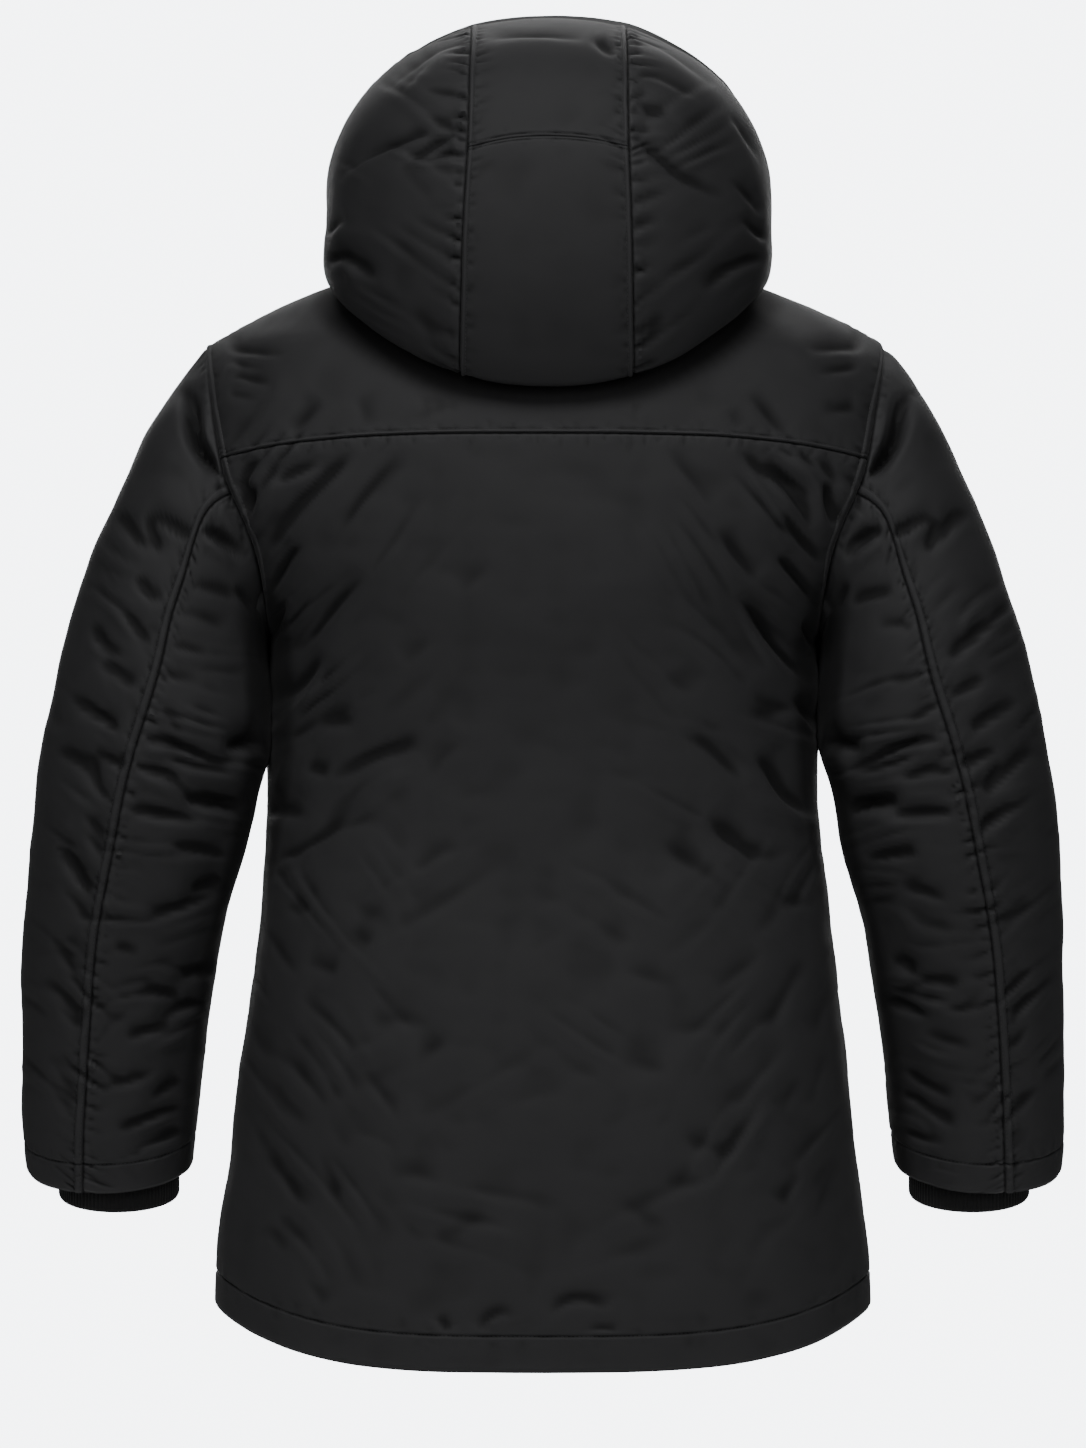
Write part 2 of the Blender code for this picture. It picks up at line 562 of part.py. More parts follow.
def build_body_and_sleeves():
    names = [row.name for row in BODY_ROWS]
    at = steps_between(BODY_KEYS, [BODY_STEPS[name] for name in names[:-1]])
    row_of = {}
    position = 0
    for name in names:
        row_of[name] = position
        position += BODY_STEPS.get(name, 0)
    back_half = body_grid("back", at, BODY_COLUMNS_BACK)
    front_half = body_grid("front", at, BODY_COLUMNS_FRONT)
    back = np.concatenate([mirrored(back_half)[:, :-1], back_half], axis=1)
    back_normals = grid_normals(back)
    front = front_half[:, ::-1]
    front_normals = grid_normals(front)

    armpit, point = row_of["armpit"], row_of["shoulder_point"]
    shared = list(range(armpit + 1)) + list(range(point, len(at)))
    seam_normals = unit(back_normals[shared, -1] + front_normals[shared, 0])
    back_normals[shared, -1] = seam_normals
    back_normals[shared, 0] = seam_normals * (-1, 1, 1)
    front_normals[shared, 0] = seam_normals

    low, high = BODY_KEYS[ROW_INDEX["armpit"]], BODY_KEYS[ROW_INDEX["shoulder_point"]]
    share = (at[armpit:point + 1] - low) / (high - low) / 2
    columns = np.concatenate([share, 1 - share[-2:0:-1]])
    sleeve_at = steps_between(sleeve_keys(), SLEEVE_STEPS)
    sleeve = sleeve_grid(columns, sleeve_at)
    sleeve[-1, :, 0] += ARMHOLE_SEAM_GAP
    sleeve_normals = grid_normals(sleeve, closed=True)

    holes = list(range(armpit, point + 1))
    rear_in = unit(back[holes, -2] - back[holes, -1])
    fore_in = unit(front[holes, 1] - front[holes, 0])
    rear_seam, fore_seam = armhole_normals(back_normals[holes, -1], front_normals[holes, 0],
                                           rear_in, fore_in, sleeve_normals[-1])
    back_normals[holes, -1] = rear_seam
    back_normals[holes, 0] = rear_seam * (-1, 1, 1)
    front_normals[holes, 0] = fore_seam

    back = folded(back, back_normals)
    sleeve = folded(sleeve, sleeve_normals)

    yoke = row_of["yoke_seam"]
    wall("back_panel", "shell_cloth", back[:yoke + 1], back_normals[:yoke + 1], PADDED_WALL)
    wall("back_yoke", "shell_cloth", back[yoke:], back_normals[yoke:], PADDED_WALL)
    wall("front_left", "shell_cloth", front, front_normals, PADDED_WALL)
    flipped = mirrored(front_normals)
    wall("front_right", "shell_cloth", mirrored(front), flipped, PADDED_WALL)
    build_sleeves(sleeve, sleeve_normals, columns)
    return back, front, front_normals


def build_sleeves(sleeve, normals, columns):
    shares = armhole_seam_shares()
    first = int(np.argmin(np.abs(columns - shares[0])))
    second = int(np.argmin(np.abs(columns - shares[1])))
    count = len(columns)
    upper = list(range(first, second + 1))
    under = [i % count for i in range(second, count + first + 1)]
    for part, chosen in (("upper", upper), ("under", under)):
        points, outward = sleeve[:, chosen], normals[:, chosen]
        wall(f"sleeve_{part}_left", "shell_cloth", points, outward, PADDED_WALL)
        wall(f"sleeve_{part}_right", "shell_cloth", mirrored(points), mirrored(outward),
             PADDED_WALL)
    build_cuffs(columns)


def build_cuffs(columns):
    """A knitted tube that joins the sleeve's inner face above the hem and shows below it."""
    keys = sleeve_keys()
    stations = CUFF_JOIN_STATION + CUFF_JOIN_SPREAD * np.array([-1, 0, 1])
    near = sleeve_grid(columns, np.interp(stations, range(len(keys)), keys))
    outward = grid_normals(near, closed=True)[1]
    top = near[1] - outward * (PADDED_WALL + CUFF_JOIN_GAP)
    angles = 2 * math.pi * columns
    levels = np.linspace(CUFF_BOTTOM_Z, CUFF_TOP_Z, 3)
    tube = np.array([cuff_ring(angles, level) for level in levels] + [top])
    tube_normals = grid_normals(tube, closed=True)
    wall("rib_cuff_left", "rib_knit", tube, tube_normals, RIB_WALL, closed=True)
    wall("rib_cuff_right", "rib_knit", mirrored(tube), mirrored(tube_normals), RIB_WALL,
         closed=True)


def cuff_ring(angles, level):
    x = CUFF_CENTRE_X - CUFF_HALF_WIDTH * np.cos(angles)
    y = CUFF_HALF_DEPTH * np.sin(angles)
    return np.stack([x, CUFF_CENTRE_Y + y, level - CUFF_TILT * y], axis=1)


def build_hood(back, front):
    """The hood's pieces, whose first ring is the body's neck edge a little way above it."""
    neck_back = back[-1, BODY_COLUMNS_BACK:]
    neck_line = np.concatenate([neck_back, front[-1, 1:]]) + np.array([0, 0, NECK_SEAM_GAP])
    rows = np.arange(len(HOOD_ROWS) + 1)
    half = hood_grid(neck_line, BODY_COLUMNS_BACK, BODY_COLUMNS_FRONT, HOOD_SEAM_COLUMN, rows)
    hood = np.concatenate([mirrored(half)[:, :-1], half], axis=1)
    middle = half.shape[1] - 1
    from_chin = middle - np.abs(np.arange(hood.shape[1]) - middle)
    fade = np.clip(from_chin / HOOD_LEAN_FADE_COLUMNS, 0, 1)
    hood[..., 0] += np.outer(hood_lean(rows), fade)
    normals = grid_normals(hood)
    left, right = middle + HOOD_SEAM_COLUMN, middle - HOOD_SEAM_COLUMN
    brim, cross = HOOD_BRIM_ROW, HOOD_CROSS_SEAM_ROW
    parts = {
        "hood_centre_back": (slice(0, cross + 1), slice(right, left + 1)),
        "hood_centre_top": (slice(cross, brim + 1), slice(right, left + 1)),
        "hood_side_left": (slice(0, brim + 1), slice(left, None)),
        "hood_side_right": (slice(0, brim + 1), slice(0, right + 1)),
        "hood_brim": (slice(brim, None), slice(0, None)),
    }
    for name, (chosen_rows, chosen_columns) in parts.items():
        wall(name, "shell_cloth", hood[chosen_rows, chosen_columns],
             normals[chosen_rows, chosen_columns], HOOD_WALL)
    return hood, normals


def zip_edge(front, front_normals, hood, hood_normals):
    """The left zip edge from hem to chin: its points, the way into the cloth, and the normals."""
    edge = np.concatenate([front[:, -1], hood[1:, -1]])
    beside = np.concatenate([front[:, -2], hood[1:, -2]])
    normals = np.concatenate([front_normals[:, -1], hood_normals[1:, -1]])
    return edge, unit(beside - edge), normals


def strip(name, slot, lines, outward, depth, thickness):
    """A flat strip through lines of points, its outer face at the given depth below them."""
    near = np.stack(lines, axis=1) - np.stack(outward, axis=1) * depth
    far = near - np.stack(outward, axis=1) * thickness
    return box(name, slot, [np.concatenate([a, b[::-1]]) for a, b in zip(near, far)])


def build_zip(edge, into, outward):
    run = distances(edge)
    start, end = run[0] + ZIP_BOTTOM_CLEAR, run[-1] - ZIP_TOP_CLEAR
    middle = run[(run > start + ZIP_BOTTOM_CLEAR / 2) & (run < end - ZIP_TOP_CLEAR / 2)]
    lengths = np.concatenate([[start], middle, [end]])
    edge = between(run, edge, lengths)
    into = unit(between(run, into, lengths))
    outward = unit(between(run, outward, lengths))
    centre = edge * (0, 1, 1)
    forward = unit(outward * (0, 1, 1))
    tape_depth = PADDED_WALL + TAPE_GAP
    chain_depth = tape_depth - CHAIN_GAP - CHAIN_THICK
    across = np.array([1.0, 0.0, 0.0])
    lines = [centre + across * TAPE_SPLIT_HALF, edge, edge + into * TAPE_UNDER_CLOTH]
    flip = np.array([-1.0, 1.0, 1.0])
    facing = [forward, forward, outward]
    strip("zip_tape_left", "zip_tape", lines, facing, tape_depth, TAPE_THICK)
    strip("zip_tape_right", "zip_tape", [line * flip for line in lines],
          [normals * flip for normals in facing], tape_depth, TAPE_THICK)
    sides = [centre - across * CHAIN_HALF_WIDTH, centre + across * CHAIN_HALF_WIDTH]
    strip("zip_chain", "zip_metal", sides, [forward, forward], chain_depth, CHAIN_THICK)
    build_slider(centre, forward, chain_depth)


def build_slider(path, outward, chain_depth):
    """The slider on the chain, with a bridge, and the pull whose bar lies under the bridge."""
    middle = between(path[:, 2], path, [SLIDER_Z])[0]
    normal = unit(between(path[:, 2], outward, [SLIDER_Z])[0])
    side = np.array([1.0, 0.0, 0.0])
    upward = np.cross(normal, side)
    upward = upward * np.sign(upward[2])
    plate_top = -(chain_depth - SLIDER_GAP - SLIDER_THICK)

    def corner(across, length, height):
        return middle + side * across + upward * length + normal * height

    build_slider_body(corner, plate_top)
    build_pull(corner(0, -PULL_AXIS_DROP, plate_top + BRIDGE_CLEAR / 2))


def build_slider_body(corner, plate_top):
    """A flat plate with an arch along its middle, both as (length, height) outlines."""
    end, plate_low = SLIDER_HALF_LENGTH, plate_top - SLIDER_THICK
    profile = [(-end, plate_low), (end, plate_low), (end, plate_top), (-end, plate_top)]
    plate = [np.array([corner(x, length, height) for length, height in profile])
             for x in (-SLIDER_HALF_WIDTH, SLIDER_HALF_WIDTH)]
    body = box("zip_slider", "zip_metal", plate)
    bridge_low = plate_top + BRIDGE_CLEAR
    bridge_high = bridge_low + BRIDGE_THICK
    reach, post = BRIDGE_HALF_LENGTH, BRIDGE_POST
    sunk = plate_top - SLIDER_THICK / 2
    arch = [
        (-reach, sunk), (-reach, bridge_high), (reach, bridge_high), (reach, sunk),
        (reach - post, sunk), (reach - post, bridge_low),
        (-reach + post, bridge_low), (-reach + post, sunk),
    ]
    loops = [np.array([corner(x, length, height) for length, height in arch])
             for x in (-BRIDGE_HALF_WIDTH, BRIDGE_HALF_WIDTH)]
    bridge = box("bridge_shape", "zip_metal", loops)
    bridge.hide_render = True
    bridge.display_type = "WIRE"
    joined = body.modifiers.new("bridge", "BOOLEAN")
    joined.operation = "UNION"
    joined.object = bridge


def build_pull(axis_point):
    """A flat tab with an eye, hanging plumb from the bar that it turns on."""
    outer, arm = PULL_HALF_WIDTH, PULL_ARM
    inner = outer - arm
    half = PULL_THICK / 2
    end, cut = -PULL_LENGTH, PULL_CHAMFER
    outline = [
        (-outer, PULL_BAR_RADIUS), (-outer, end + cut), (-outer + cut, end),
        (outer - cut, end), (outer, end + cut), (outer, PULL_BAR_RADIUS),
        (inner, PULL_BAR_RADIUS), (inner, -PULL_ARM_LENGTH),
        (-inner, -PULL_ARM_LENGTH), (-inner, PULL_BAR_RADIUS),
    ]
    loops = [np.array([axis_point + (x, y, z) for x, z in outline]) for y in (half, -half)]
    tab = box("zip_pull", "zip_metal", loops, origin=tuple(axis_point))
    ends = np.linspace(0, 2 * math.pi, PULL_BAR_SIDES, endpoint=False)
    ring = np.stack([np.zeros_like(ends), np.cos(ends), np.sin(ends)], axis=1) * PULL_BAR_RADIUS
    reach = inner + arm / 2
    bars = [ring + axis_point + (x, 0, 0) for x in (-reach, reach)]
    bar = box("bar_shape", "zip_metal", bars)
    bar.hide_render = True
    bar.display_type = "WIRE"
    joined = tab.modifiers.new("bar", "BOOLEAN")
    joined.operation = "UNION"
    joined.object = bar


def build():
    for old in list(bpy.data.objects):
        bpy.data.objects.remove(old)
    back, front, front_normals = build_body_and_sleeves()
    hood, hood_normals = build_hood(back, front)
    build_zip(*zip_edge(front, front_normals, hood, hood_normals))


build()
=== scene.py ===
# %% [markdown]
# # A hooded parka in black padded cloth
#
# This lesson dresses a measured model of a parka. The measured pieces say where everything is and
# how big it is. Each cell below adds one thing: a light, a form, a seam, a fold, a finish.
# The coat stands up in its worn shape with nobody in it, so it is a set of thin, curved sheets
# around a hollow, and that is how it is built here.

import json
import math
from collections import namedtuple

import bmesh
import bpy
import numpy as np
from mathutils.kdtree import KDTree
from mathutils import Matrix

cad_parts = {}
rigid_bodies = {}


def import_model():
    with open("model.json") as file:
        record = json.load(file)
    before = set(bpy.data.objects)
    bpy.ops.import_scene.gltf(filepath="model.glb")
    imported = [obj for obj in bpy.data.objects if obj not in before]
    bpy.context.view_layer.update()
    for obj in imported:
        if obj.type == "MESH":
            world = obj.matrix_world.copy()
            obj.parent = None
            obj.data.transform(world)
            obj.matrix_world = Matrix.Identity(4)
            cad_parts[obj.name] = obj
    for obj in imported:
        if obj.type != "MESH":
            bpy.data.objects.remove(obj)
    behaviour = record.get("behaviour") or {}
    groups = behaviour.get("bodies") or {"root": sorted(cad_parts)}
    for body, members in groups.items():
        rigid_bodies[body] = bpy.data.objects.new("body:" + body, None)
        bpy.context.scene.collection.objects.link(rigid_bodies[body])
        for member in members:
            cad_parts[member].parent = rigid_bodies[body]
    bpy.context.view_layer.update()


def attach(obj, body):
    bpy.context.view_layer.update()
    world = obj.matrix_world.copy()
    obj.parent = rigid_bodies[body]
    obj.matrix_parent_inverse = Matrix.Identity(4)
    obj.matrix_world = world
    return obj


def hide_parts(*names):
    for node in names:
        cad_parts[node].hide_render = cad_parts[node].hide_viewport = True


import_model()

# %% [markdown]
# The coat is looked at from straight behind, from a little over four metres away, at the height
# of the wearer's waist. A long lens at that distance keeps the sleeves and the body the same
# scale. The lens is worked out from the height that has to fit in the picture.

# %% Set up the camera
SIGHT_DISTANCE = 4.3
SIGHT_HEIGHT = -0.3665
PICTURE_HEIGHT = 1.115
SENSOR = 36.0

camera_data = bpy.data.cameras.new("camera")
camera_data.sensor_fit = "VERTICAL"
camera_data.sensor_height = SENSOR
camera_data.lens = SENSOR * SIGHT_DISTANCE / PICTURE_HEIGHT
camera = bpy.data.objects.new("camera", camera_data)
camera.location = (0.0008, SIGHT_DISTANCE, SIGHT_HEIGHT)
camera.rotation_euler = (math.radians(90), 0, math.radians(180))
bpy.context.scene.collection.objects.link(camera)
bpy.context.scene.camera = camera
print("lens:", round(camera_data.lens, 1), "mm")

# %% [markdown]
# Curves and grids. The coat's forms come from short tables: each row of a table is one level of
# the body, one station of a sleeve or one ring of the hood. A natural cubic spline runs smoothly
# through the rows, so any number of points can be read from it. The same tables made the measured
# pieces, so the cloth built here lies exactly on them, only much finer.

# %% Helpers for curves and grids
def spline(keys, values, at):
    keys, values = np.asarray(keys, float), np.asarray(values, float)
    count = len(keys)
    step = np.diff(keys)
    slope = np.diff(values, axis=0) / step[:, None]
    matrix, right = np.eye(count), np.zeros_like(values)
    for i in range(1, count - 1):
        matrix[i, i - 1:i + 2] = step[i - 1], 2 * (step[i - 1] + step[i]), step[i]
        right[i] = 6 * (slope[i] - slope[i - 1])
    bend = np.linalg.solve(matrix, right)
    at = np.atleast_1d(np.asarray(at, float))
    i = np.clip(np.searchsorted(keys, at, side="right") - 1, 0, count - 2)
    before = ((at - keys[i]) / step[i])[:, None]
    after = 1 - before
    curve = (after**3 - after) * bend[i] + (before**3 - before) * bend[i + 1]
    return after * values[i] + before * values[i + 1] + curve * step[i][:, None]**2 / 6


def distances(points):
    steps = np.linalg.norm(np.diff(points, axis=0), axis=-1)
    return np.concatenate([np.zeros_like(steps[:1]), np.cumsum(steps, axis=0)])


def between(run, values, lengths):
    columns = [np.interp(lengths, run, values[:, i]) for i in range(values.shape[1])]
    return np.stack(columns, axis=1)


def along(points, lengths):
    return between(distances(points), points, lengths)


def unit(vectors):
    return vectors / np.maximum(np.linalg.norm(vectors, axis=-1, keepdims=True), 1e-12)


def mirrored(grid):
    flipped = grid[:, ::-1].copy()
    flipped[..., 0] *= -1
    return flipped


def smooth_step(value, low, high):
    share = np.clip((value - low) / (high - low), 0, 1)
    return share * share * (3 - 2 * share)


# A seam needs points under a millimetre apart, and the middle of a panel doesn't.
SEAM_STEPS = np.array([0, .6, 1.2, 1.9, 2.6, 3.2, 3.9, 4.6, 5.4, 6.3, 7, 7.8, 8.8, 9.6, 10.4, 11.6]) / 1000


def graded(length, steps, low=True, high=True):
    """Distances from 0 to length, close together at the ends that are seams."""
    start = SEAM_STEPS if low else SEAM_STEPS[:1]
    end = length - (SEAM_STEPS if high else SEAM_STEPS[:1])[::-1]
    middle = np.linspace(start[-1], end[0], steps + 1)
    return np.concatenate([start, middle[1:-1], end])


def graded_breaks(breaks, seams, cell):
    """Distances over several stretches, where seams says which of the breaks are seams."""
    result = [np.array([breaks[0]])]
    for i in range(len(breaks) - 1):
        length = breaks[i + 1] - breaks[i]
        steps = max(2, round((length - 0.012 * (seams[i] + seams[i + 1])) / cell))
        result.append(breaks[i] + graded(length, steps, seams[i], seams[i + 1])[1:])
    return np.concatenate(result)


print("steps at a seam, in mm:", (SEAM_STEPS * 1000).tolist())

# %% [markdown]
# The body is cut as a back, a yoke above it and two fronts. Every level has a point on the centre
# line and a point on the side edge, and the row between them bulges like a squared-off oval. The
# back's edge (rear) and the front's edge (fore) are one line at the side seam and the shoulder
# seam, and they part around the armhole.

# %% The body's levels
BodyRow = namedtuple(
    "BodyRow",
    "name back_y back_z rear_x rear_y rear_z fore_x fore_y fore_z front_y front_z roundness",
)
BODY_ROWS = [
    BodyRow("hem", .150, -.8495, .2515, .000, -.8115, .2515, .000, -.8115, -.150, -.822, .42),
    BodyRow("hem_stitch", .151, -.822, .2505, .000, -.785, .2505, .000, -.785, -.148, -.795, .42),
    BodyRow("skirt", .148, -.720, .2412, -.003, -.700, .2412, -.003, -.700, -.146, -.700, .42),
    BodyRow("hip", .142, -.580, .2275, -.008, -.570, .2275, -.008, -.570, -.145, -.570, .42),
    BodyRow("waist", .135, -.430, .2125, -.014, -.425, .2125, -.014, -.425, -.147, -.425, .42),
    BodyRow("low_chest", .140, -.340, .2130, -.018, -.340, .2130, -.018, -.340, -.152, -.340, .42),
    BodyRow("armpit", .146, -.295, .2105, -.012, -.305, .2105, -.012, -.305, -.153, -.300, .42),
    BodyRow("armhole_low", .150, -.262, .2125, .052, -.272, .2090, -.058, -.272, -.152, -.272, .60),
    BodyRow("armhole_mid", .151, -.232, .2195, .080, -.232, .2150, -.078, -.232, -.150, -.240, .72),
    BodyRow("sleeve_seam", .150, -.197, .2362, .084, -.192, .2240, -.083, -.195, -.147, -.210, .75),
    BodyRow("yoke_seam", .146, -.150, .2445, .078, -.1665, .2320, -.080, -.165, -.143, -.185, .75),
    BodyRow("blade", .139, -.120, .2510, .062, -.132, .2420, -.068, -.130, -.139, -.162, .70),
    BodyRow("cap", .130, -.095, .2565, .036, -.100, .2520, -.045, -.100, -.135, -.143, .62),
    BodyRow("shoulder_point", .120, -.075, .2590, -.004, -.0757,
            .2590, -.004, -.0757, -.131, -.125, .52),
    BodyRow("shoulder_mid", .108, -.058, .2135, -.005, -.0515,
            .2135, -.005, -.0515, -.127, -.112, .50),
    BodyRow("shoulder_in", .092, -.038, .1500, -.004, -.0245,
            .1500, -.004, -.0245, -.123, -.098, .47),
    BodyRow("neck", .072, -.020, .0920, -.003, .0, .0920, -.003, .0, -.120, -.085, .4545),
]
SQUARENESS = {"shoulder_in": 2.3, "neck": 2.2}
USUAL_SQUARENESS = 2.4
EDGE_DROP = {"back": 3.8, "front": 2.4}
ZIP_GAP_HALF = 0.007
ROW_NAMES = [row.name for row in BODY_ROWS]


def row_values(side, *fields):
    return np.array([[getattr(row, f"{side}_{field}") for field in fields] for row in BODY_ROWS])


BODY_KEYS = (distances(row_values("back", "y", "z")) + distances(row_values("rear", "x", "y", "z"))) / 2
LEVEL = dict(zip(ROW_NAMES, BODY_KEYS))
CORNERS = [0, ROW_NAMES.index("armpit"), ROW_NAMES.index("shoulder_point"), len(ROW_NAMES) - 1]


def body_edge(side, at):
    """The side edge of the back (rear) or the front (fore), cornered at armpit and shoulder."""
    values, result = row_values(side, "x", "y", "z"), np.zeros((len(at), 3))
    for low, high in zip(CORNERS[:-1], CORNERS[1:]):
        inside = (at >= BODY_KEYS[low] - 1e-9) & (at <= BODY_KEYS[high] + 1e-9)
        part = slice(low, high + 1)
        result[inside] = spline(BODY_KEYS[part], values[part], at[inside])
    return result


def body_lines(face, at):
    """A dense line for each level, from the centre line out to the side edge."""
    centres = spline(BODY_KEYS, row_values(face, "y", "z"), at)
    edges = body_edge("rear" if face == "back" else "fore", at)
    squareness = [SQUARENESS.get(name, USUAL_SQUARENESS) for name in ROW_NAMES]
    roundness = [row.roundness for row in BODY_ROWS]
    turn = np.linspace(0, math.pi / 2, 241)
    for level, centre, edge in zip(at, centres, edges):
        x = np.sin(turn) ** (2 / np.interp(level, BODY_KEYS, squareness))
        y = np.cos(turn).clip(0) ** (2 * np.interp(level, BODY_KEYS, roundness))
        yield np.stack([edge[0] * x, edge[1] + (centre[0] - edge[1]) * y,
                        centre[1] + (edge[2] - centre[1]) * x ** EDGE_DROP[face]], axis=1)


CELL, BACK_STEPS = 0.0025, 100
CELL_FRONT, FRONT_STEPS = 0.0042, 50


def body_grid(face, at, steps):
    first = 0.0 if face == "back" else ZIP_GAP_HALF
    rows = []
    for line in body_lines(face, at):
        length = distances(line)[-1] - first
        rows.append(along(line, first + graded(length, steps, face == "front")))
    return np.array(rows)


BODY_BREAKS = ["hem", "hem_stitch", "armpit", "yoke_seam", "shoulder_point", "neck"]


def body_levels(cell):
    """Levels for the rows, close together at the hem, its stitch line, the yoke and the neck."""
    seams = [name in ("hem", "hem_stitch", "yoke_seam", "neck") for name in BODY_BREAKS]
    return graded_breaks([LEVEL[name] for name in BODY_BREAKS], seams, cell)


def row_at(levels, name):
    return int(np.argmin(np.abs(levels - LEVEL[name])))


def rows_between(levels, low, high):
    return slice(row_at(levels, low), row_at(levels, high) + 1)


back_levels, front_levels = body_levels(CELL), body_levels(CELL_FRONT)
back_half = body_grid("back", back_levels, BACK_STEPS)
back_points = np.concatenate([mirrored(back_half)[:, :-1], back_half], axis=1)
front_points = body_grid("front", front_levels, FRONT_STEPS)[:, ::-1]
print("back grid:", back_points.shape, "front grid:", front_points.shape)

# %% [markdown]
# A sleeve is a tube in two parts, an upper one outside the arm and an under one inside. Each ring
# of the table has an outer and an inner point, and the armhole itself is the first ring. The angles
# say where on each ring the two long seams lie, counted from the inner point round the back.

# %% The sleeve's stations
SleeveRow = namedtuple("SleeveRow", "outer_x outer_z inner_x inner_z centre_y depth tilt back_seam")
SLEEVE_ROWS = [
    SleeveRow(.2915, -.1170, .2130, -.3180, .004, .088, .00, 95),
    SleeveRow(.3215, -.1755, .2132, -.3310, .012, .086, .00, 92),
    SleeveRow(.3430, -.2260, .2128, -.3460, .018, .084, .02, 92),
    SleeveRow(.3577, -.2710, .2124, -.3630, .022, .081, .04, 92),
    SleeveRow(.3733, -.3300, .2124, -.3860, .024, .078, .06, 95),
    SleeveRow(.3845, -.3865, .2195, -.4120, .021, .075, .09, 98),
    SleeveRow(.3942, -.4558, .2280, -.4580, .010, .072, .14, 101),
    SleeveRow(.3995, -.5100, .2410, -.5030, -.002, .068, .20, 103),
    SleeveRow(.4020, -.5700, .2535, -.5650, -.016, .063, .26, 104),
    SleeveRow(.4032, -.6300, .2630, -.6250, -.031, .058, .31, 105),
    SleeveRow(.4030, -.6870, .2695, -.6820, -.045, .054, .35, 106),
    SleeveRow(.4015, -.7120, .2725, -.7080, -.050, .052, .36, 107),
]
FRONT_SEAM_ANGLE = 304
SLEEVE_HEM = 0.024
ARMHOLE_GAP = 0.0003


def armhole_loop(shares):
    low, high = LEVEL["armpit"], LEVEL["shoulder_point"]
    back = shares <= 0.5
    at = low + (high - low) * 2 * np.where(back, shares, 1 - shares)
    loop = body_edge("fore", at)
    loop[back] = body_edge("rear", at)[back]
    return loop


def armhole_share(name):
    low, high = LEVEL["armpit"], LEVEL["shoulder_point"]
    return (LEVEL[name] - low) / (high - low) / 2


BACK_SEAM_SHARE = armhole_share("sleeve_seam")
FRONT_SEAM_SHARE = 1 - armhole_share("armhole_mid")


def sleeve_ring(row, shares):
    """One ring of the left sleeve at the given shares of the armhole, 0 at the armpit."""
    turn = np.radians(np.interp(shares, [0, BACK_SEAM_SHARE, 0.5, FRONT_SEAM_SHARE, 1],
                                [0, row.back_seam, 180, FRONT_SEAM_ANGLE, 360]))
    outer = np.array([row.outer_x, row.centre_y, row.outer_z])
    inner = np.array([row.inner_x, row.centre_y, row.inner_z])
    to_back = np.array([0.0, row.depth, -row.depth * row.tilt])
    return ((outer + inner) / 2 + np.outer(np.cos(turn), (inner - outer) / 2)
            + np.outer(np.sin(turn), to_back))


def sleeve_keys():
    middles = [armhole_loop(np.linspace(0, 1, 33)[:-1]).mean(axis=0)]
    middles += [((row.outer_x + row.inner_x) / 2, row.centre_y, (row.outer_z + row.inner_z) / 2)
                for row in SLEEVE_ROWS]
    return distances(np.array(middles))


def sleeve_grid(shares, at):
    """The left sleeve from its hem up to the armhole."""
    rings = np.array([armhole_loop(shares)] + [sleeve_ring(row, shares) for row in SLEEVE_ROWS])
    keys = sleeve_keys()
    return np.stack([spline(keys, rings[:, i], at) for i in range(len(shares))], axis=1)[::-1]


SLEEVE_GIRTH = 0.45
share_breaks = np.array([0, BACK_SEAM_SHARE, 0.5, FRONT_SEAM_SHARE, 1]) * SLEEVE_GIRTH
sleeve_shares = graded_breaks(share_breaks, [0, 1, 0, 1, 0], CELL)[:-1] / SLEEVE_GIRTH
sleeve_length = sleeve_keys()[-1]
sleeve_levels = graded_breaks([0, sleeve_length - SLEEVE_HEM, sleeve_length], [1, 1, 1], CELL)
sleeve_points = sleeve_grid(sleeve_shares, sleeve_levels)
sleeve_points[-1, :, 0] += ARMHOLE_GAP
print("sleeve grid:", sleeve_points.shape, "length:", round(sleeve_length, 3))

# %% [markdown]
# The hood is a centre panel between two side panels. Each ring is a closed oval in a plane that
# turns from level at the neck to upright at the face. Places round a ring are counted in sixteenths
# from the centre line to the zip: 4 is the seam of the centre panel and 8 is over the shoulder.

# %% The hood's rings
HoodRow = namedtuple(
    "HoodRow", "chin_y chin_z crown_y crown_z half_width lift widest squareness panel_half lean"
)
HOOD_ROWS = [
    HoodRow(-.1215, -.078, .118, -.0540, .1280, .061, .50, 2.20, .0610, -.0010),
    HoodRow(-.1230, -.070, .152, -.1140, .1640, .064, .38, 2.30, .0650, -.0020),
    HoodRow(-.1240, -.063, .180, -.0620, .1705, .046, .42, 2.40, .0640, -.0021),
    HoodRow(-.1250, -.056, .191, -.0040, .1705, .026, .44, 2.40, .0626, -.0024),
    HoodRow(-.1262, -.048, .187, .0600, .1700, .010, .45, 2.40, .0600, -.0030),
    HoodRow(-.1272, -.041, .168, .1080, .1695, .006, .47, 2.35, .0592, -.0034),
    HoodRow(-.1280, -.034, .130, .1450, .1655, .003, .50, 2.30, .0588, -.0037),
    HoodRow(-.1286, -.027, .077, .1660, .1630, .000, .53, 2.25, .0588, -.0037),
    HoodRow(-.1292, -.020, .018, .1735, .1620, .000, .56, 2.20, .0590, -.0037),
    HoodRow(-.1296, -.012, -.038, .1770, .1620, .000, .58, 2.25, .0596, -.0037),
    HoodRow(-.1300, -.004, -.076, .1810, .1625, .000, .59, 2.30, .0603, -.0037),
    HoodRow(-.1320, .003, -.107, .1940, .1650, .000, .60, 2.35, .0610, -.0037),
]
RING_PLACES, SEAM_PLACE, SHOULDER_PLACE = 16, 4, 8
LIFT_FORWARD = 0.65
CROSS_RING, BRIM_RING = 5, 11
CROSS_ARCH, CROSS_ARCH_REACH = 0.14, 1.2
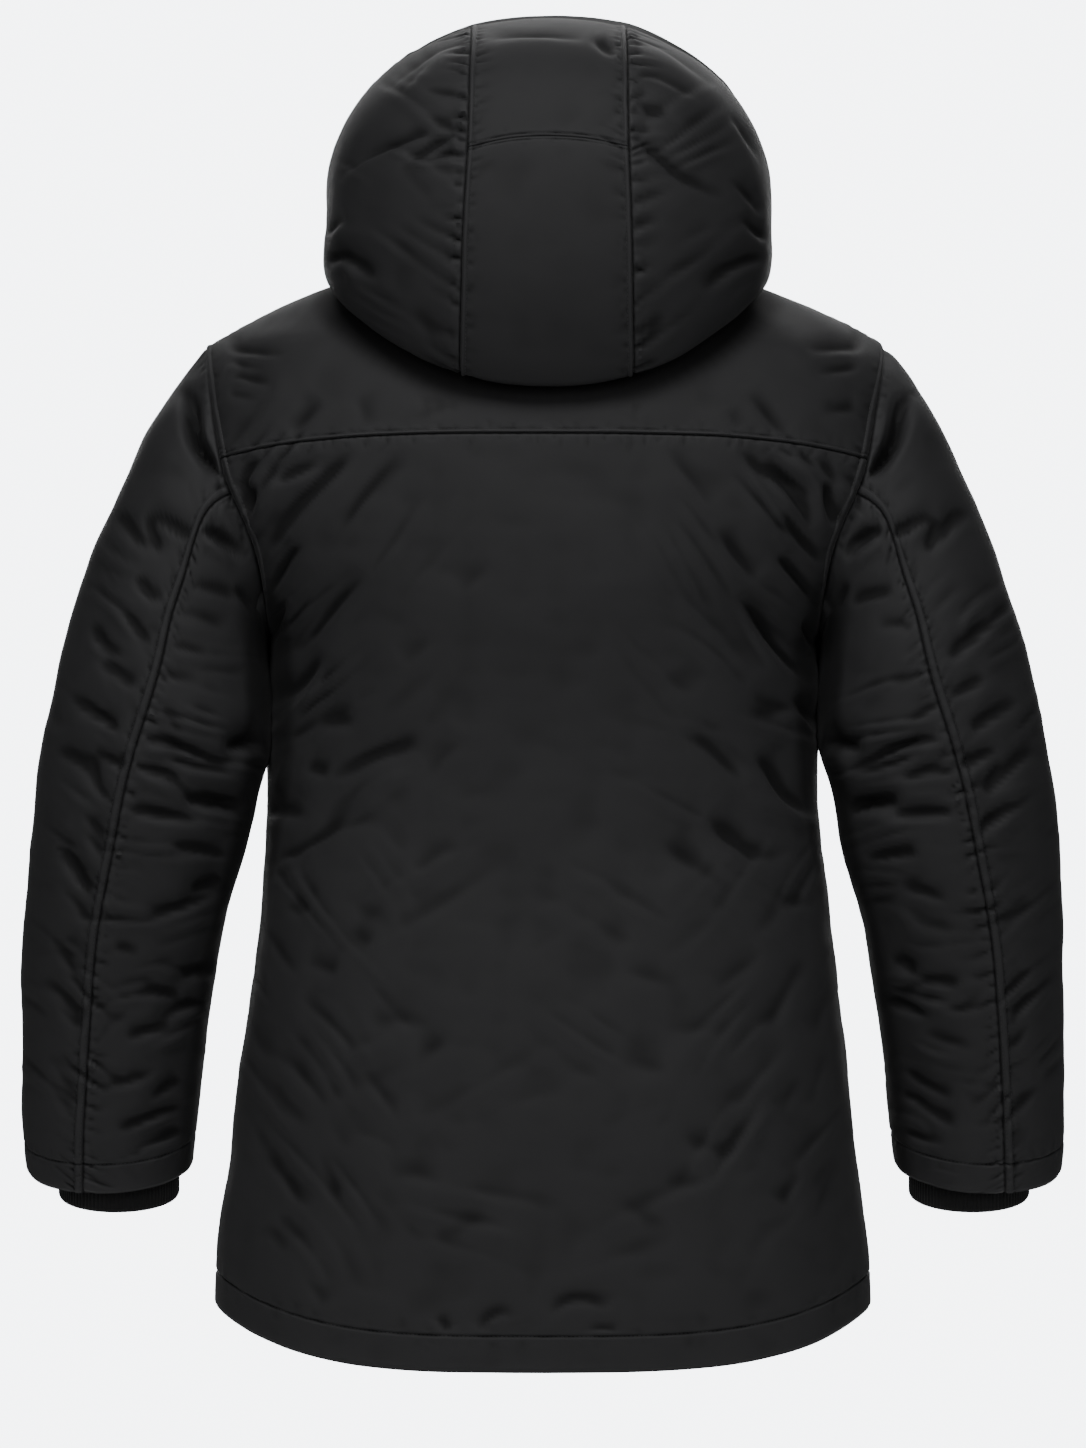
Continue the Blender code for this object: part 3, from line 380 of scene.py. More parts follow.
LEAN_FADE = 6
NECK_GAP = 0.0006


def neck_line(places):
    """The body's neck edge at places counted from the centre of the back to the zip."""
    at = np.array([LEVEL["neck"]])
    back, front = next(body_lines("back", at)), next(body_lines("front", at))
    back_length, front_length = distances(back)[-1], distances(front)[-1]
    on_back = along(back, places / SHOULDER_PLACE * back_length)
    share = (RING_PLACES - places) / (RING_PLACES - SHOULDER_PLACE)
    on_front = along(front, ZIP_GAP_HALF + share * (front_length - ZIP_GAP_HALF))
    line = np.where((places <= SHOULDER_PLACE)[:, None], on_back, on_front)
    return line + np.array([0, 0, NECK_GAP])


def hood_ring(row, places):
    turn = np.linspace(0, math.pi, 241)
    side = np.sin(turn).clip(0)
    share = (1 - np.cos(turn)) / 2 + (row.widest - 0.5) * side**2
    lift = row.lift * side**2 * (1 + LIFT_FORWARD * (-np.cos(turn)).clip(0))
    line = np.stack([row.half_width * side ** (2 / row.squareness),
                     row.crown_y + (row.chin_y - row.crown_y) * share,
                     row.crown_z + (row.chin_z - row.crown_z) * share + lift], axis=1)
    run = distances(line)
    upper = turn <= math.pi / 2
    seam = np.interp(row.panel_half, line[upper, 0], run[upper])
    stops = [0, seam, run[-1] - ZIP_GAP_HALF]
    return along(line, np.interp(places, [0, SEAM_PLACE, RING_PLACES], stops))


def hood_rings(places):
    return np.array([neck_line(places)] + [hood_ring(row, places) for row in HOOD_ROWS])


RING_NUMBERS = np.arange(len(HOOD_ROWS) + 1)
centre_run = distances(hood_rings(np.arange(SEAM_PLACE, dtype=float)).mean(axis=1))
side_run = distances(hood_rings(np.array([float(SHOULDER_PLACE)]))[:, 0])
HOOD_KEYS = centre_run + side_run


def hood_grid(places, numbers):
    """The left half of the hood, from the neck seam to the face edge, leaning as it is worn."""
    rings = hood_rings(places)
    near_seam = np.exp(-((numbers - CROSS_RING) / CROSS_ARCH_REACH) ** 2)
    lines = []
    for i, place in enumerate(places):
        arch = CROSS_ARCH * max(0.0, 1 - (place / SEAM_PLACE) ** 2)
        lines.append(spline(HOOD_KEYS, rings[:, i],
                            np.interp(numbers + arch * near_seam, RING_NUMBERS, HOOD_KEYS)))
    return np.stack(lines, axis=1)


SEAM_PLACE_SIZE, SIDE_PLACE_SIZE = 0.0155, 0.031
centre_places = graded(SEAM_PLACE * SEAM_PLACE_SIZE, 17, False) / SEAM_PLACE_SIZE
side_size = (RING_PLACES - SEAM_PLACE) * SIDE_PLACE_SIZE
side_places = SEAM_PLACE + graded(side_size, 116) / SIDE_PLACE_SIZE
hood_places = np.concatenate([centre_places, side_places[1:]])
hood_breaks = [HOOD_KEYS[i] / 2 for i in (0, CROSS_RING, BRIM_RING, BRIM_RING + 1)]
hood_numbers = np.interp(2 * graded_breaks(hood_breaks, [1, 1, 1, 1], 0.0024), HOOD_KEYS, RING_NUMBERS)
hood_half = hood_grid(hood_places, hood_numbers)
hood_points = np.concatenate([mirrored(hood_half)[:, :-1], hood_half], axis=1)
hood_middle = hood_half.shape[1] - 1
hood_places_round = np.concatenate([hood_places[::-1][:-1], hood_places])
leans = np.interp(hood_numbers, RING_NUMBERS, [0.0] + [row.lean for row in HOOD_ROWS])
fade = np.clip((RING_PLACES - hood_places_round) / LEAN_FADE, 0, 1)
hood_points[..., 0] += np.outer(leans, fade)
print("hood grid:", hood_points.shape)

# %% [markdown]
# A form is one grid with everything that is done to the cloth on it. Its heights say how far each
# point stands out from the smooth form, or is pressed in. Folds, seams and puckers only add to the
# heights, in any order, and the points are moved once at the end. The wear says how rubbed each
# point is, from 0 to 1, and the finish of the cloth reads it later.

# %% A form and its places
FAR = 9.0
MM = 0.001


class Form:
    """A grid of points whose rows go up and whose columns go clockwise seen from above."""

    def __init__(self, name, points, closed=False):
        self.name, self.points, self.closed = name, points, closed
        self.height = np.zeros(points.shape[:2])
        # The hollow mark, filled in later, is painted light: painted shade in hollows and crevices, painted
        # highlight on ridges.
        self.wear, self.hollow = np.zeros(points.shape[:2]), np.zeros(points.shape[:2])
        self.up = distances(points)
        self.across = distances(points.swapaxes(0, 1)).T
        self.girth = self.across[:, -1] + np.linalg.norm(points[:, 0] - points[:, -1], axis=-1)
        self.normals = self.outward()

    def outward(self):
        up = np.gradient(self.points, axis=0)
        if self.closed:
            over = np.roll(self.points, -1, axis=1) - np.roll(self.points, 1, axis=1)
        else:
            over = np.gradient(self.points, axis=1)
        return unit(np.cross(up, over))

    def seen(self, side):
        """Where each point appears from behind (side 1) or in front (side -1), in millimetres."""
        x, y, z = np.moveaxis(self.points, -1, 0)
        grow = SIGHT_DISTANCE / (SIGHT_DISTANCE - side * y)
        return np.stack([x * grow, SIGHT_HEIGHT + (z - SIGHT_HEIGHT) * grow], axis=-1) / MM

    def surface(self):
        return self.points + self.normals * self.height[..., None]


EASED_ROWS, EASING_TURNS, EDGE_KEPT = 26, 160, 0.018


def eased(points, row, edges):
    """The points with the bend at a row softened, everywhere but along some edge columns."""
    rows = slice(row - EASED_ROWS, row + EASED_ROWS + 1)
    across = distances(points.swapaxes(0, 1)).T[rows]
    away = np.min([np.abs(across - across[:, edge][:, None]) for edge in edges], axis=0)
    inward = 1 - np.exp(-(away / EDGE_KEPT) ** 2)
    window = np.cos(np.linspace(-math.pi / 2, math.pi / 2, 2 * EASED_ROWS + 1))[:, None]
    share = (inward * window)[..., None][1:-1]
    eased_points = points.copy()
    for _ in range(EASING_TURNS):
        part = eased_points[rows]
        middle = (part[:-2] + part[2:]) / 2 - part[1:-1]
        part[1:-1] += 0.5 * share * middle
    return eased_points


back_points = eased(back_points, row_at(back_levels, "shoulder_point"), (0, -1))
front_points = eased(front_points, row_at(front_levels, "shoulder_point"), (0,))

back = Form("back", back_points)
front_left = Form("front_left", front_points)
front_right = Form("front_right", mirrored(front_points))
sleeve_left = Form("sleeve_left", sleeve_points, closed=True)
sleeve_right = Form("sleeve_right", mirrored(sleeve_points), closed=True)
hood = Form("hood", hood_points)
FORMS = [back, front_left, front_right, sleeve_left, sleeve_right, hood]
print("points in all:", sum(form.height.size for form in FORMS))

# %% [markdown]
# Where two forms meet, both must move the same way, or a gap opens when a fold crosses the seam.
# So near a seam the outward directions of both sides are turned towards one shared direction.

# %% Share the outward direction along the seams between forms
SHARED_REACH = 0.014


def turn_towards(form, where, shared, away):
    share = np.exp(-(away / SHARED_REACH) ** 2)[..., None]
    form.normals[where] = unit(form.normals[where] * (1 - share) + shared * share)


def share_side_seam(front, column, front_column, low, high):
    """The side seam, the shoulder seam and the armhole edge, between two rows of the levels."""
    rear, fore = rows_between(back_levels, low, high), rows_between(front_levels, low, high)
    rear_edge, fore_edge = back.normals[rear, column], front.normals[fore, front_column]
    fore_at_rear = between(front_levels[fore], fore_edge, back_levels[rear])
    rear_at_fore = between(back_levels[rear], rear_edge, front_levels[fore])
    away = np.abs(back.across[rear] - back.across[rear, column][:, None])
    turn_towards(back, rear, unit(rear_edge + fore_at_rear)[:, None], away)
    away = np.abs(front.across[fore] - front.across[fore, front_column][:, None])
    turn_towards(front, fore, unit(fore_edge + rear_at_fore)[:, None], away)


for low, high in (("hem", "armpit"), ("shoulder_point", "neck")):
    share_side_seam(front_left, -1, 0, low, high)
    share_side_seam(front_right, 0, -1, low, high)


FRONT_EDGES = ((front_left, -1, 0), (front_right, 0, -1))


def armhole_levels():
    """The body's levels at the sleeve's columns, up the back and down the front."""
    low, high = LEVEL["armpit"], LEVEL["shoulder_point"]
    return low + (high - low) * 2 * np.minimum(sleeve_shares, 1 - sleeve_shares)


def armhole_normals(side, level):
    """The body's outward directions round the armhole, at the sleeve's columns."""
    front, column, front_column = FRONT_EDGES[side]
    rear = between(back_levels, back.normals[:, column], level)
    fore = between(front_levels, front.normals[:, front_column], level)
    return unit(np.where((sleeve_shares <= 0.5)[:, None], rear, fore))


def share_armhole(side):
    sleeve = (sleeve_left, sleeve_right)[side]
    front, column, front_column = FRONT_EDGES[side]
    ring = sleeve.normals[-1] if side == 0 else sleeve.normals[-1, ::-1]
    level = armhole_levels()
    shared = unit(armhole_normals(side, level) + ring)
    rear, fore = sleeve_shares <= 0.5, sleeve_shares >= 0.5
    for form, levels, edge, part in ((back, back_levels, column, rear),
                                     (front, front_levels, front_column, fore)):
        rows = rows_between(levels, "armpit", "shoulder_point")
        order = np.argsort(level[part])
        edge_normals = between(level[part][order], shared[part][order], levels[rows])
        away = np.abs(form.across[rows] - form.across[rows, edge][:, None])
        turn_towards(form, rows, unit(edge_normals)[:, None], away)
    away = sleeve.up[-1] - sleeve.up
    turn_towards(sleeve, slice(None), shared if side == 0 else shared[::-1], away)


share_armhole(0)
share_armhole(1)


def share_neck():
    """The hood's lowest rows and the body's highest rows move together."""
    body = np.concatenate([front_right.normals[-1], back.normals[-1, 1:-1], front_left.normals[-1]])
    body_points = np.concatenate([front_right.points[-1], back.points[-1, 1:-1], front_left.points[-1]])
    run, hood_run = distances(body_points), distances(hood.points[0])
    run *= hood_run[-1] / run[-1]
    shared = unit(unit(between(run, body, hood_run)) + hood.normals[0])
    turn_towards(hood, slice(None), shared, hood.up)
    near = between(hood_run, shared, run)
    counts = np.cumsum([front_right.points.shape[1], back.points.shape[1] - 2])
    parts = np.split(unit(near), counts)
    back_part = np.concatenate([parts[0][-1:], parts[1], parts[2][:1]])
    for form, part in ((front_right, parts[0]), (back, back_part), (front_left, parts[2])):
        turn_towards(form, slice(None), part, form.up[-1] - form.up)


share_neck()

print("directions shared at the side, shoulder, armhole and neck seams")

# %% [markdown]
# Folds are listed one by one. Each has a path of two or more places, as seen from straight behind or
# in front, in millimetres, with a width, a depth and the share of its path where it is deepest.
# A fold that starts at a seam is deepest at 0, and a negative depth makes a ridge. A fold opens out
# towards its ends. Cloth keeps its length, so a trough that is pressed in lifts the padding beside it
# in a broad, low swell.

# %% Press folds into a form
Fold = namedtuple("Fold", "path width depth deepest")
LIP, LIP_REACH = 0.26, 2.8
OPENING = 0.7
DEPTH_SCALE = 2.3
UPPER_WIDTH, LOWER_WIDTH = 1.9, 0.75


def folds(*rows):
    """Folds from rows that give the places of a path, then its width, depth and deepest share."""
    return [Fold(row[:-3], *row[-3:]) for row in rows]


def smooth_path(path):
    path = np.asarray(path, float)
    if len(path) == 2:
        return path
    return spline(np.arange(len(path)), path, np.linspace(0, len(path) - 1, 5 * len(path) - 4))


def distance_to_path(places, line):
    """How far each place is from a line, above it or below it, and the share of it that is nearest."""
    best, share, above = np.full(len(places), np.inf), np.zeros(len(places)), np.zeros(len(places))
    run = distances(line)
    for start, end, before in zip(line[:-1], line[1:], run[:-1]):
        step = end - start
        length = np.linalg.norm(step)
        part = np.clip((places - start) @ step / length**2, 0, 1)
        away = np.linalg.norm(places - start - part[:, None] * step, axis=1)
        nearer = away < best
        best[nearer] = away[nearer]
        share[nearer] = (before + part[nearer] * length) / run[-1]
        upward = np.array([-step[1], step[0]]) * (1 if step[0] > 0 else -1) / length
        above[nearer] = ((places - start) @ upward)[nearer]
    return best, share, above


def press(form, folds, side=1, strength=1.0):
    """Adds the folds to the side of a form that faces back (side 1) or front (side -1)."""
    seen = form.seen(side)
    facing = smooth_step(side * form.normals[..., 1], -0.05, 0.35)
    for fold in folds:
        line = smooth_path(fold.path)
        reach = 8 * fold.width
        low, high = line.min(axis=0) - reach, line.max(axis=0) + reach
        near = np.nonzero(np.all((seen > low) & (seen < high), axis=-1) & (facing > 0))
        if not len(near[0]):
            continue
        away, share, above = distance_to_path(seen[near], line)
        from_deepest = share - fold.deepest
        span = np.where(from_deepest < 0, fold.deepest, 1 - fold.deepest)
        spent = np.clip(np.abs(from_deepest) / np.maximum(span, 1e-6), 0, 1)
        upper = smooth_step(above / fold.width, -0.8, 0.8)
        width = fold.width * (LOWER_WIDTH + (UPPER_WIDTH - LOWER_WIDTH) * upper)
        r = away / width / (1 + OPENING * spent**2)
        profile = (1 + LIP) * np.exp(-(r**1.35)) - LIP * np.exp(-((r / LIP_REACH) ** 2))
        depth = strength * DEPTH_SCALE * fold.depth * MM * (1 - spent**2) ** 1.3
        form.height[near] -= depth * profile * facing[near]


# %% [markdown]
# A worn sleeve folds where the arm hangs down from the shoulder and where the elbow bends. The
# deepest fold starts at the sleeve's head and runs down into the armhole, then two sharp ones lie
# across the elbow's inner side. Along the forearm the folds are short and run into the long seam.

# %% Fold the left sleeve
SLEEVE_LEFT_FOLDS = folds(
    ((277, -108), (273, -128), (269, -146), (260, -162), (247, -180), 1.7, 5, .6),
    ((279, -102), (274, -124), (271, -144), (262, -161), (248, -178), 4.5, 8, .6),
    ((248, -179), (235, -206), (229, -236), (226, -256), 6, 4, .3),
    ((263, -215), (248, -226), (232, -239), 3.6, 6, .6),
    ((265, -224), (248, -238), (237, -246), 3, -1.8, .5),
    ((308, -203), (291, -212), (272, -224), 3.4, 3.4, .6),
    ((309, -204), (302, -221), (294, -238), 3.6, 2.4, .3),
    ((331, -203), (319, -218), (299, -235), 4.5, 2.5, .4),
    ((274, -259), (254, -263), (234, -271), 3.8, 1.8, .5),
    ((237, -259), (229, -272), (222, -283), 4, 4, .5),
    ((316, -252), (305, -266), (294, -273), 4, 2, .4),
    ((325, -280), (314, -295), (302, -303), 4.5, 1.8, .5),
    ((349, -286), (343, -303), (332, -319), 4.5, 1.9, .4),
    ((344, -313), (331, -326), (314, -340), 4.2, 2.2, .6),
    ((368, -344), (351, -357), (325, -372), 4.4, 2.6, .6),
    ((378, -384), (359, -397), (342, -415), 4.8, 2.2, .5),
    ((352, -383), (336, -394), (321, -401), 3.8, 2.7, .6),
    ((353, -387), (346, -409), (336, -426), 4, 1.5, .5),
    ((308, -378), (285, -383), (259, -393), (232, -399), 3.2, 4.6, .4),
    ((296, -389), (271, -399), (234, -405), 2.8, 3.2, .5),
    ((316, -401), (296, -404), (276, -411), 3.8, 2.2, .5),
    ((248, -386), (231, -383), (218, -380), 6.5, 6, .8),
    ((279, -426), (259, -427), (229, -432), 5, 6, .7),
    ((321, -433), (296, -437), (259, -442), 4, 3.2, .4),
    ((289, -463), (265, -464), (241, -468), 4.5, 2.6, .5),
    ((376, -454), (362, -477), (351, -500), 4.8, 1.7, .5),
    ((355, -434), (345, -448), (336, -460), 4.2, 1.6, .5),
    ((295, -352), (282, -369), (274, -373), 4, 1.3, .5),
    ((289, -306), (274, -308), (258, -313), 4, 1, .4),
    ((299, -327), (285, -330), (265, -332), 4, .9, .4),
    ((285, -280), (265, -283), (242, -292), 5, .9, .5),
    ((309, -516), (287, -510), (265, -503), (244, -494), 4.2, 3, .5),
    ((281, -502), (262, -492), (243, -485), 5.5, 2.6, .7),
    ((332, -537), (321, -540), (309, -543), 4, 1.1, .3),
    ((313, -573), (293, -574), (276, -577), 4.2, 2.4, .6),
    ((287, -566), (268, -559), (252, -554), 5.5, 2.8, .7),
    ((325, -609), (306, -604), (282, -598), 4.2, 2.2, .5),
    ((299, -596), (281, -587), (262, -580), 5.5, 2.3, .7),
    ((343, -647), (315, -640), (292, -629), 4.6, 1.5, .4),
    ((331, -681), (312, -674), (276, -659), 4.2, 2.4, .5),
    ((309, -659), (293, -649), (276, -639), 5, 2, .6),
    ((321, -693), (293, -686), (274, -677), 4.8, 1.8, .6),
    ((356, -448), (347, -460), (340, -473), 4, 1.6, .5),
    ((378, -460), (362, -482), (346, -505), 5.5, 2, .6),
    ((375, -485), (359, -507), (348, -521), 4.6, 1.5, .6),
    ((381, -529), (369, -548), (355, -565), 5, 1.7, .6),
    ((389, -561), (372, -576), (354, -596), 5, 1.7, .6),
    ((372, -529), (359, -539), (350, -546), 4, 1.2, .6),
    ((378, -580), (365, -595), (355, -605), 4.6, 1.3, .6),
    ((387, -620), (372, -636), (359, -649), 4.8, 1.2, .6),
    ((384, -642), (372, -655), (360, -665), 4.8, 1.1, .6),
)
press(sleeve_left, SLEEVE_LEFT_FOLDS)
print("folds on the left sleeve:", len(SLEEVE_LEFT_FOLDS))

# %% [markdown]
# The right sleeve hangs almost as the left one does, but no fold is quite the same.

# %% Fold the right sleeve
SLEEVE_RIGHT_FOLDS = folds(
    ((-277, -114), (-274, -137), (-262, -162), (-248, -180), 1.7, 5, .6),
    ((-278, -108), (-276, -135), (-264, -161), (-249, -178), 4.5, 8, .6),
    ((-248, -181), (-233, -213), (-227, -240), (-225, -258), 6, 4, .3),
    ((-261, -215), (-244, -226), (-230, -241), 3.6, 6, .6),
    ((-262, -227), (-244, -241), (-235, -247), 3, -1.8, .5),
    ((-306, -204), (-287, -212), (-266, -224), 3.4, 3.4, .6),
    ((-327, -200), (-310, -218), (-295, -235), 4.6, 2.8, .4),
    ((-306, -206), (-300, -222), (-293, -238), 3.6, 1.8, .3),
    ((-270, -264), (-250, -268), (-232, -274), 3.8, 2, .5),
    ((-233, -256), (-228, -269), (-224, -280), 4, 4, .5),
    ((-345, -286), (-327, -303), (-309, -319), 4.6, 2.5, .5),
    ((-341, -328), (-324, -340), (-309, -344), 4.2, 1.8, .5),
    ((-367, -345), (-347, -360), (-326, -372), 4.5, 2.5, .6),
    ((-352, -384), (-335, -393), (-318, -399), 3.8, 2.7, .6),
    ((-379, -382), (-358, -403), (-338, -423), 4.8, 2.4, .5),
    ((-352, -386), (-348, -406), (-337, -426), 4, 1.4, .5),
    ((-306, -377), (-278, -383), (-253, -394), (-232, -403), 3.2, 4.6, .4),
    ((-293, -388), (-264, -399), (-235, -407), 2.8, 3.2, .5),
    ((-313, -401), (-293, -404), (-272, -412), 3.8, 2.2, .5),
    ((-246, -386), (-230, -383), (-217, -380), 6.5, 6, .8),
    ((-276, -426), (-256, -428), (-231, -433), 5, 6, .7),
    ((-316, -435), (-290, -436), (-261, -438), 4.2, 2.7, .4),
    ((-290, -465), (-267, -467), (-247, -471), 4.5, 2.6, .5),
    ((-352, -434), (-342, -443), (-335, -450), 4.2, 1.5, .5),
    ((-305, -349), (-290, -360), (-277, -370), 4.5, 1.4, .5),
    ((-293, -329), (-280, -333), (-264, -336), 4, 1.1, .4),
    ((-284, -292), (-267, -289), (-256, -293), 4, 1, .4),
    ((-272, -488), (-291, -495), (-314, -503), 4.6, 1.6, .5),
    ((-275, -510), (-295, -520), (-317, -523), 4.6, 1.5, .5),
    ((-265, -547), (-276, -551), (-287, -559), 4.8, 2.6, .6),
    ((-325, -570), (-298, -566), (-272, -570), 4.2, 2.5, .5),
    ((-259, -579), (-279, -584), (-298, -592), 5, 3, .4),
    ((-342, -583), (-320, -586), (-303, -583), 4, 1.4, .5),
    ((-288, -602), (-313, -611), (-333, -615), 5, 1.1, .5),
    ((-276, -626), (-288, -642), (-317, -656), 4.6, 1.9, .5),
    ((-270, -642), (-282, -655), (-301, -668), (-320, -678), 4.6, 2.1, .5),
    ((-272, -677), (-291, -686), (-310, -688), 4.6, 1.5, .4),
    ((-377, -554), (-365, -569), (-354, -577), 4.4, 1.6, .6),
    ((-380, -570), (-370, -583), (-357, -596), 4.6, 1.5, .6),
    ((-374, -595), (-365, -609), (-357, -618), 4.6, 1.3, .6),
    ((-378, -501), (-361, -514), (-347, -521), 4.8, 1.4, .6),
    ((-381, -642), (-370, -661), (-361, -671), 4.8, 1.1, .6),
    ((-361, -422), (-350, -437), (-338, -445), 4.6, 1.7, .6),
)
press(sleeve_right, SLEEVE_RIGHT_FOLDS)
print("folds on the right sleeve:", len(SLEEVE_RIGHT_FOLDS))

# %% [markdown]
# The back is drawn from the armholes down to the middle, so its folds fan out from each armpit.
# Lower down they are long and shallow, and follow the hang of the side seams. The stitching of the
# hem leaves two small rucks near the middle.

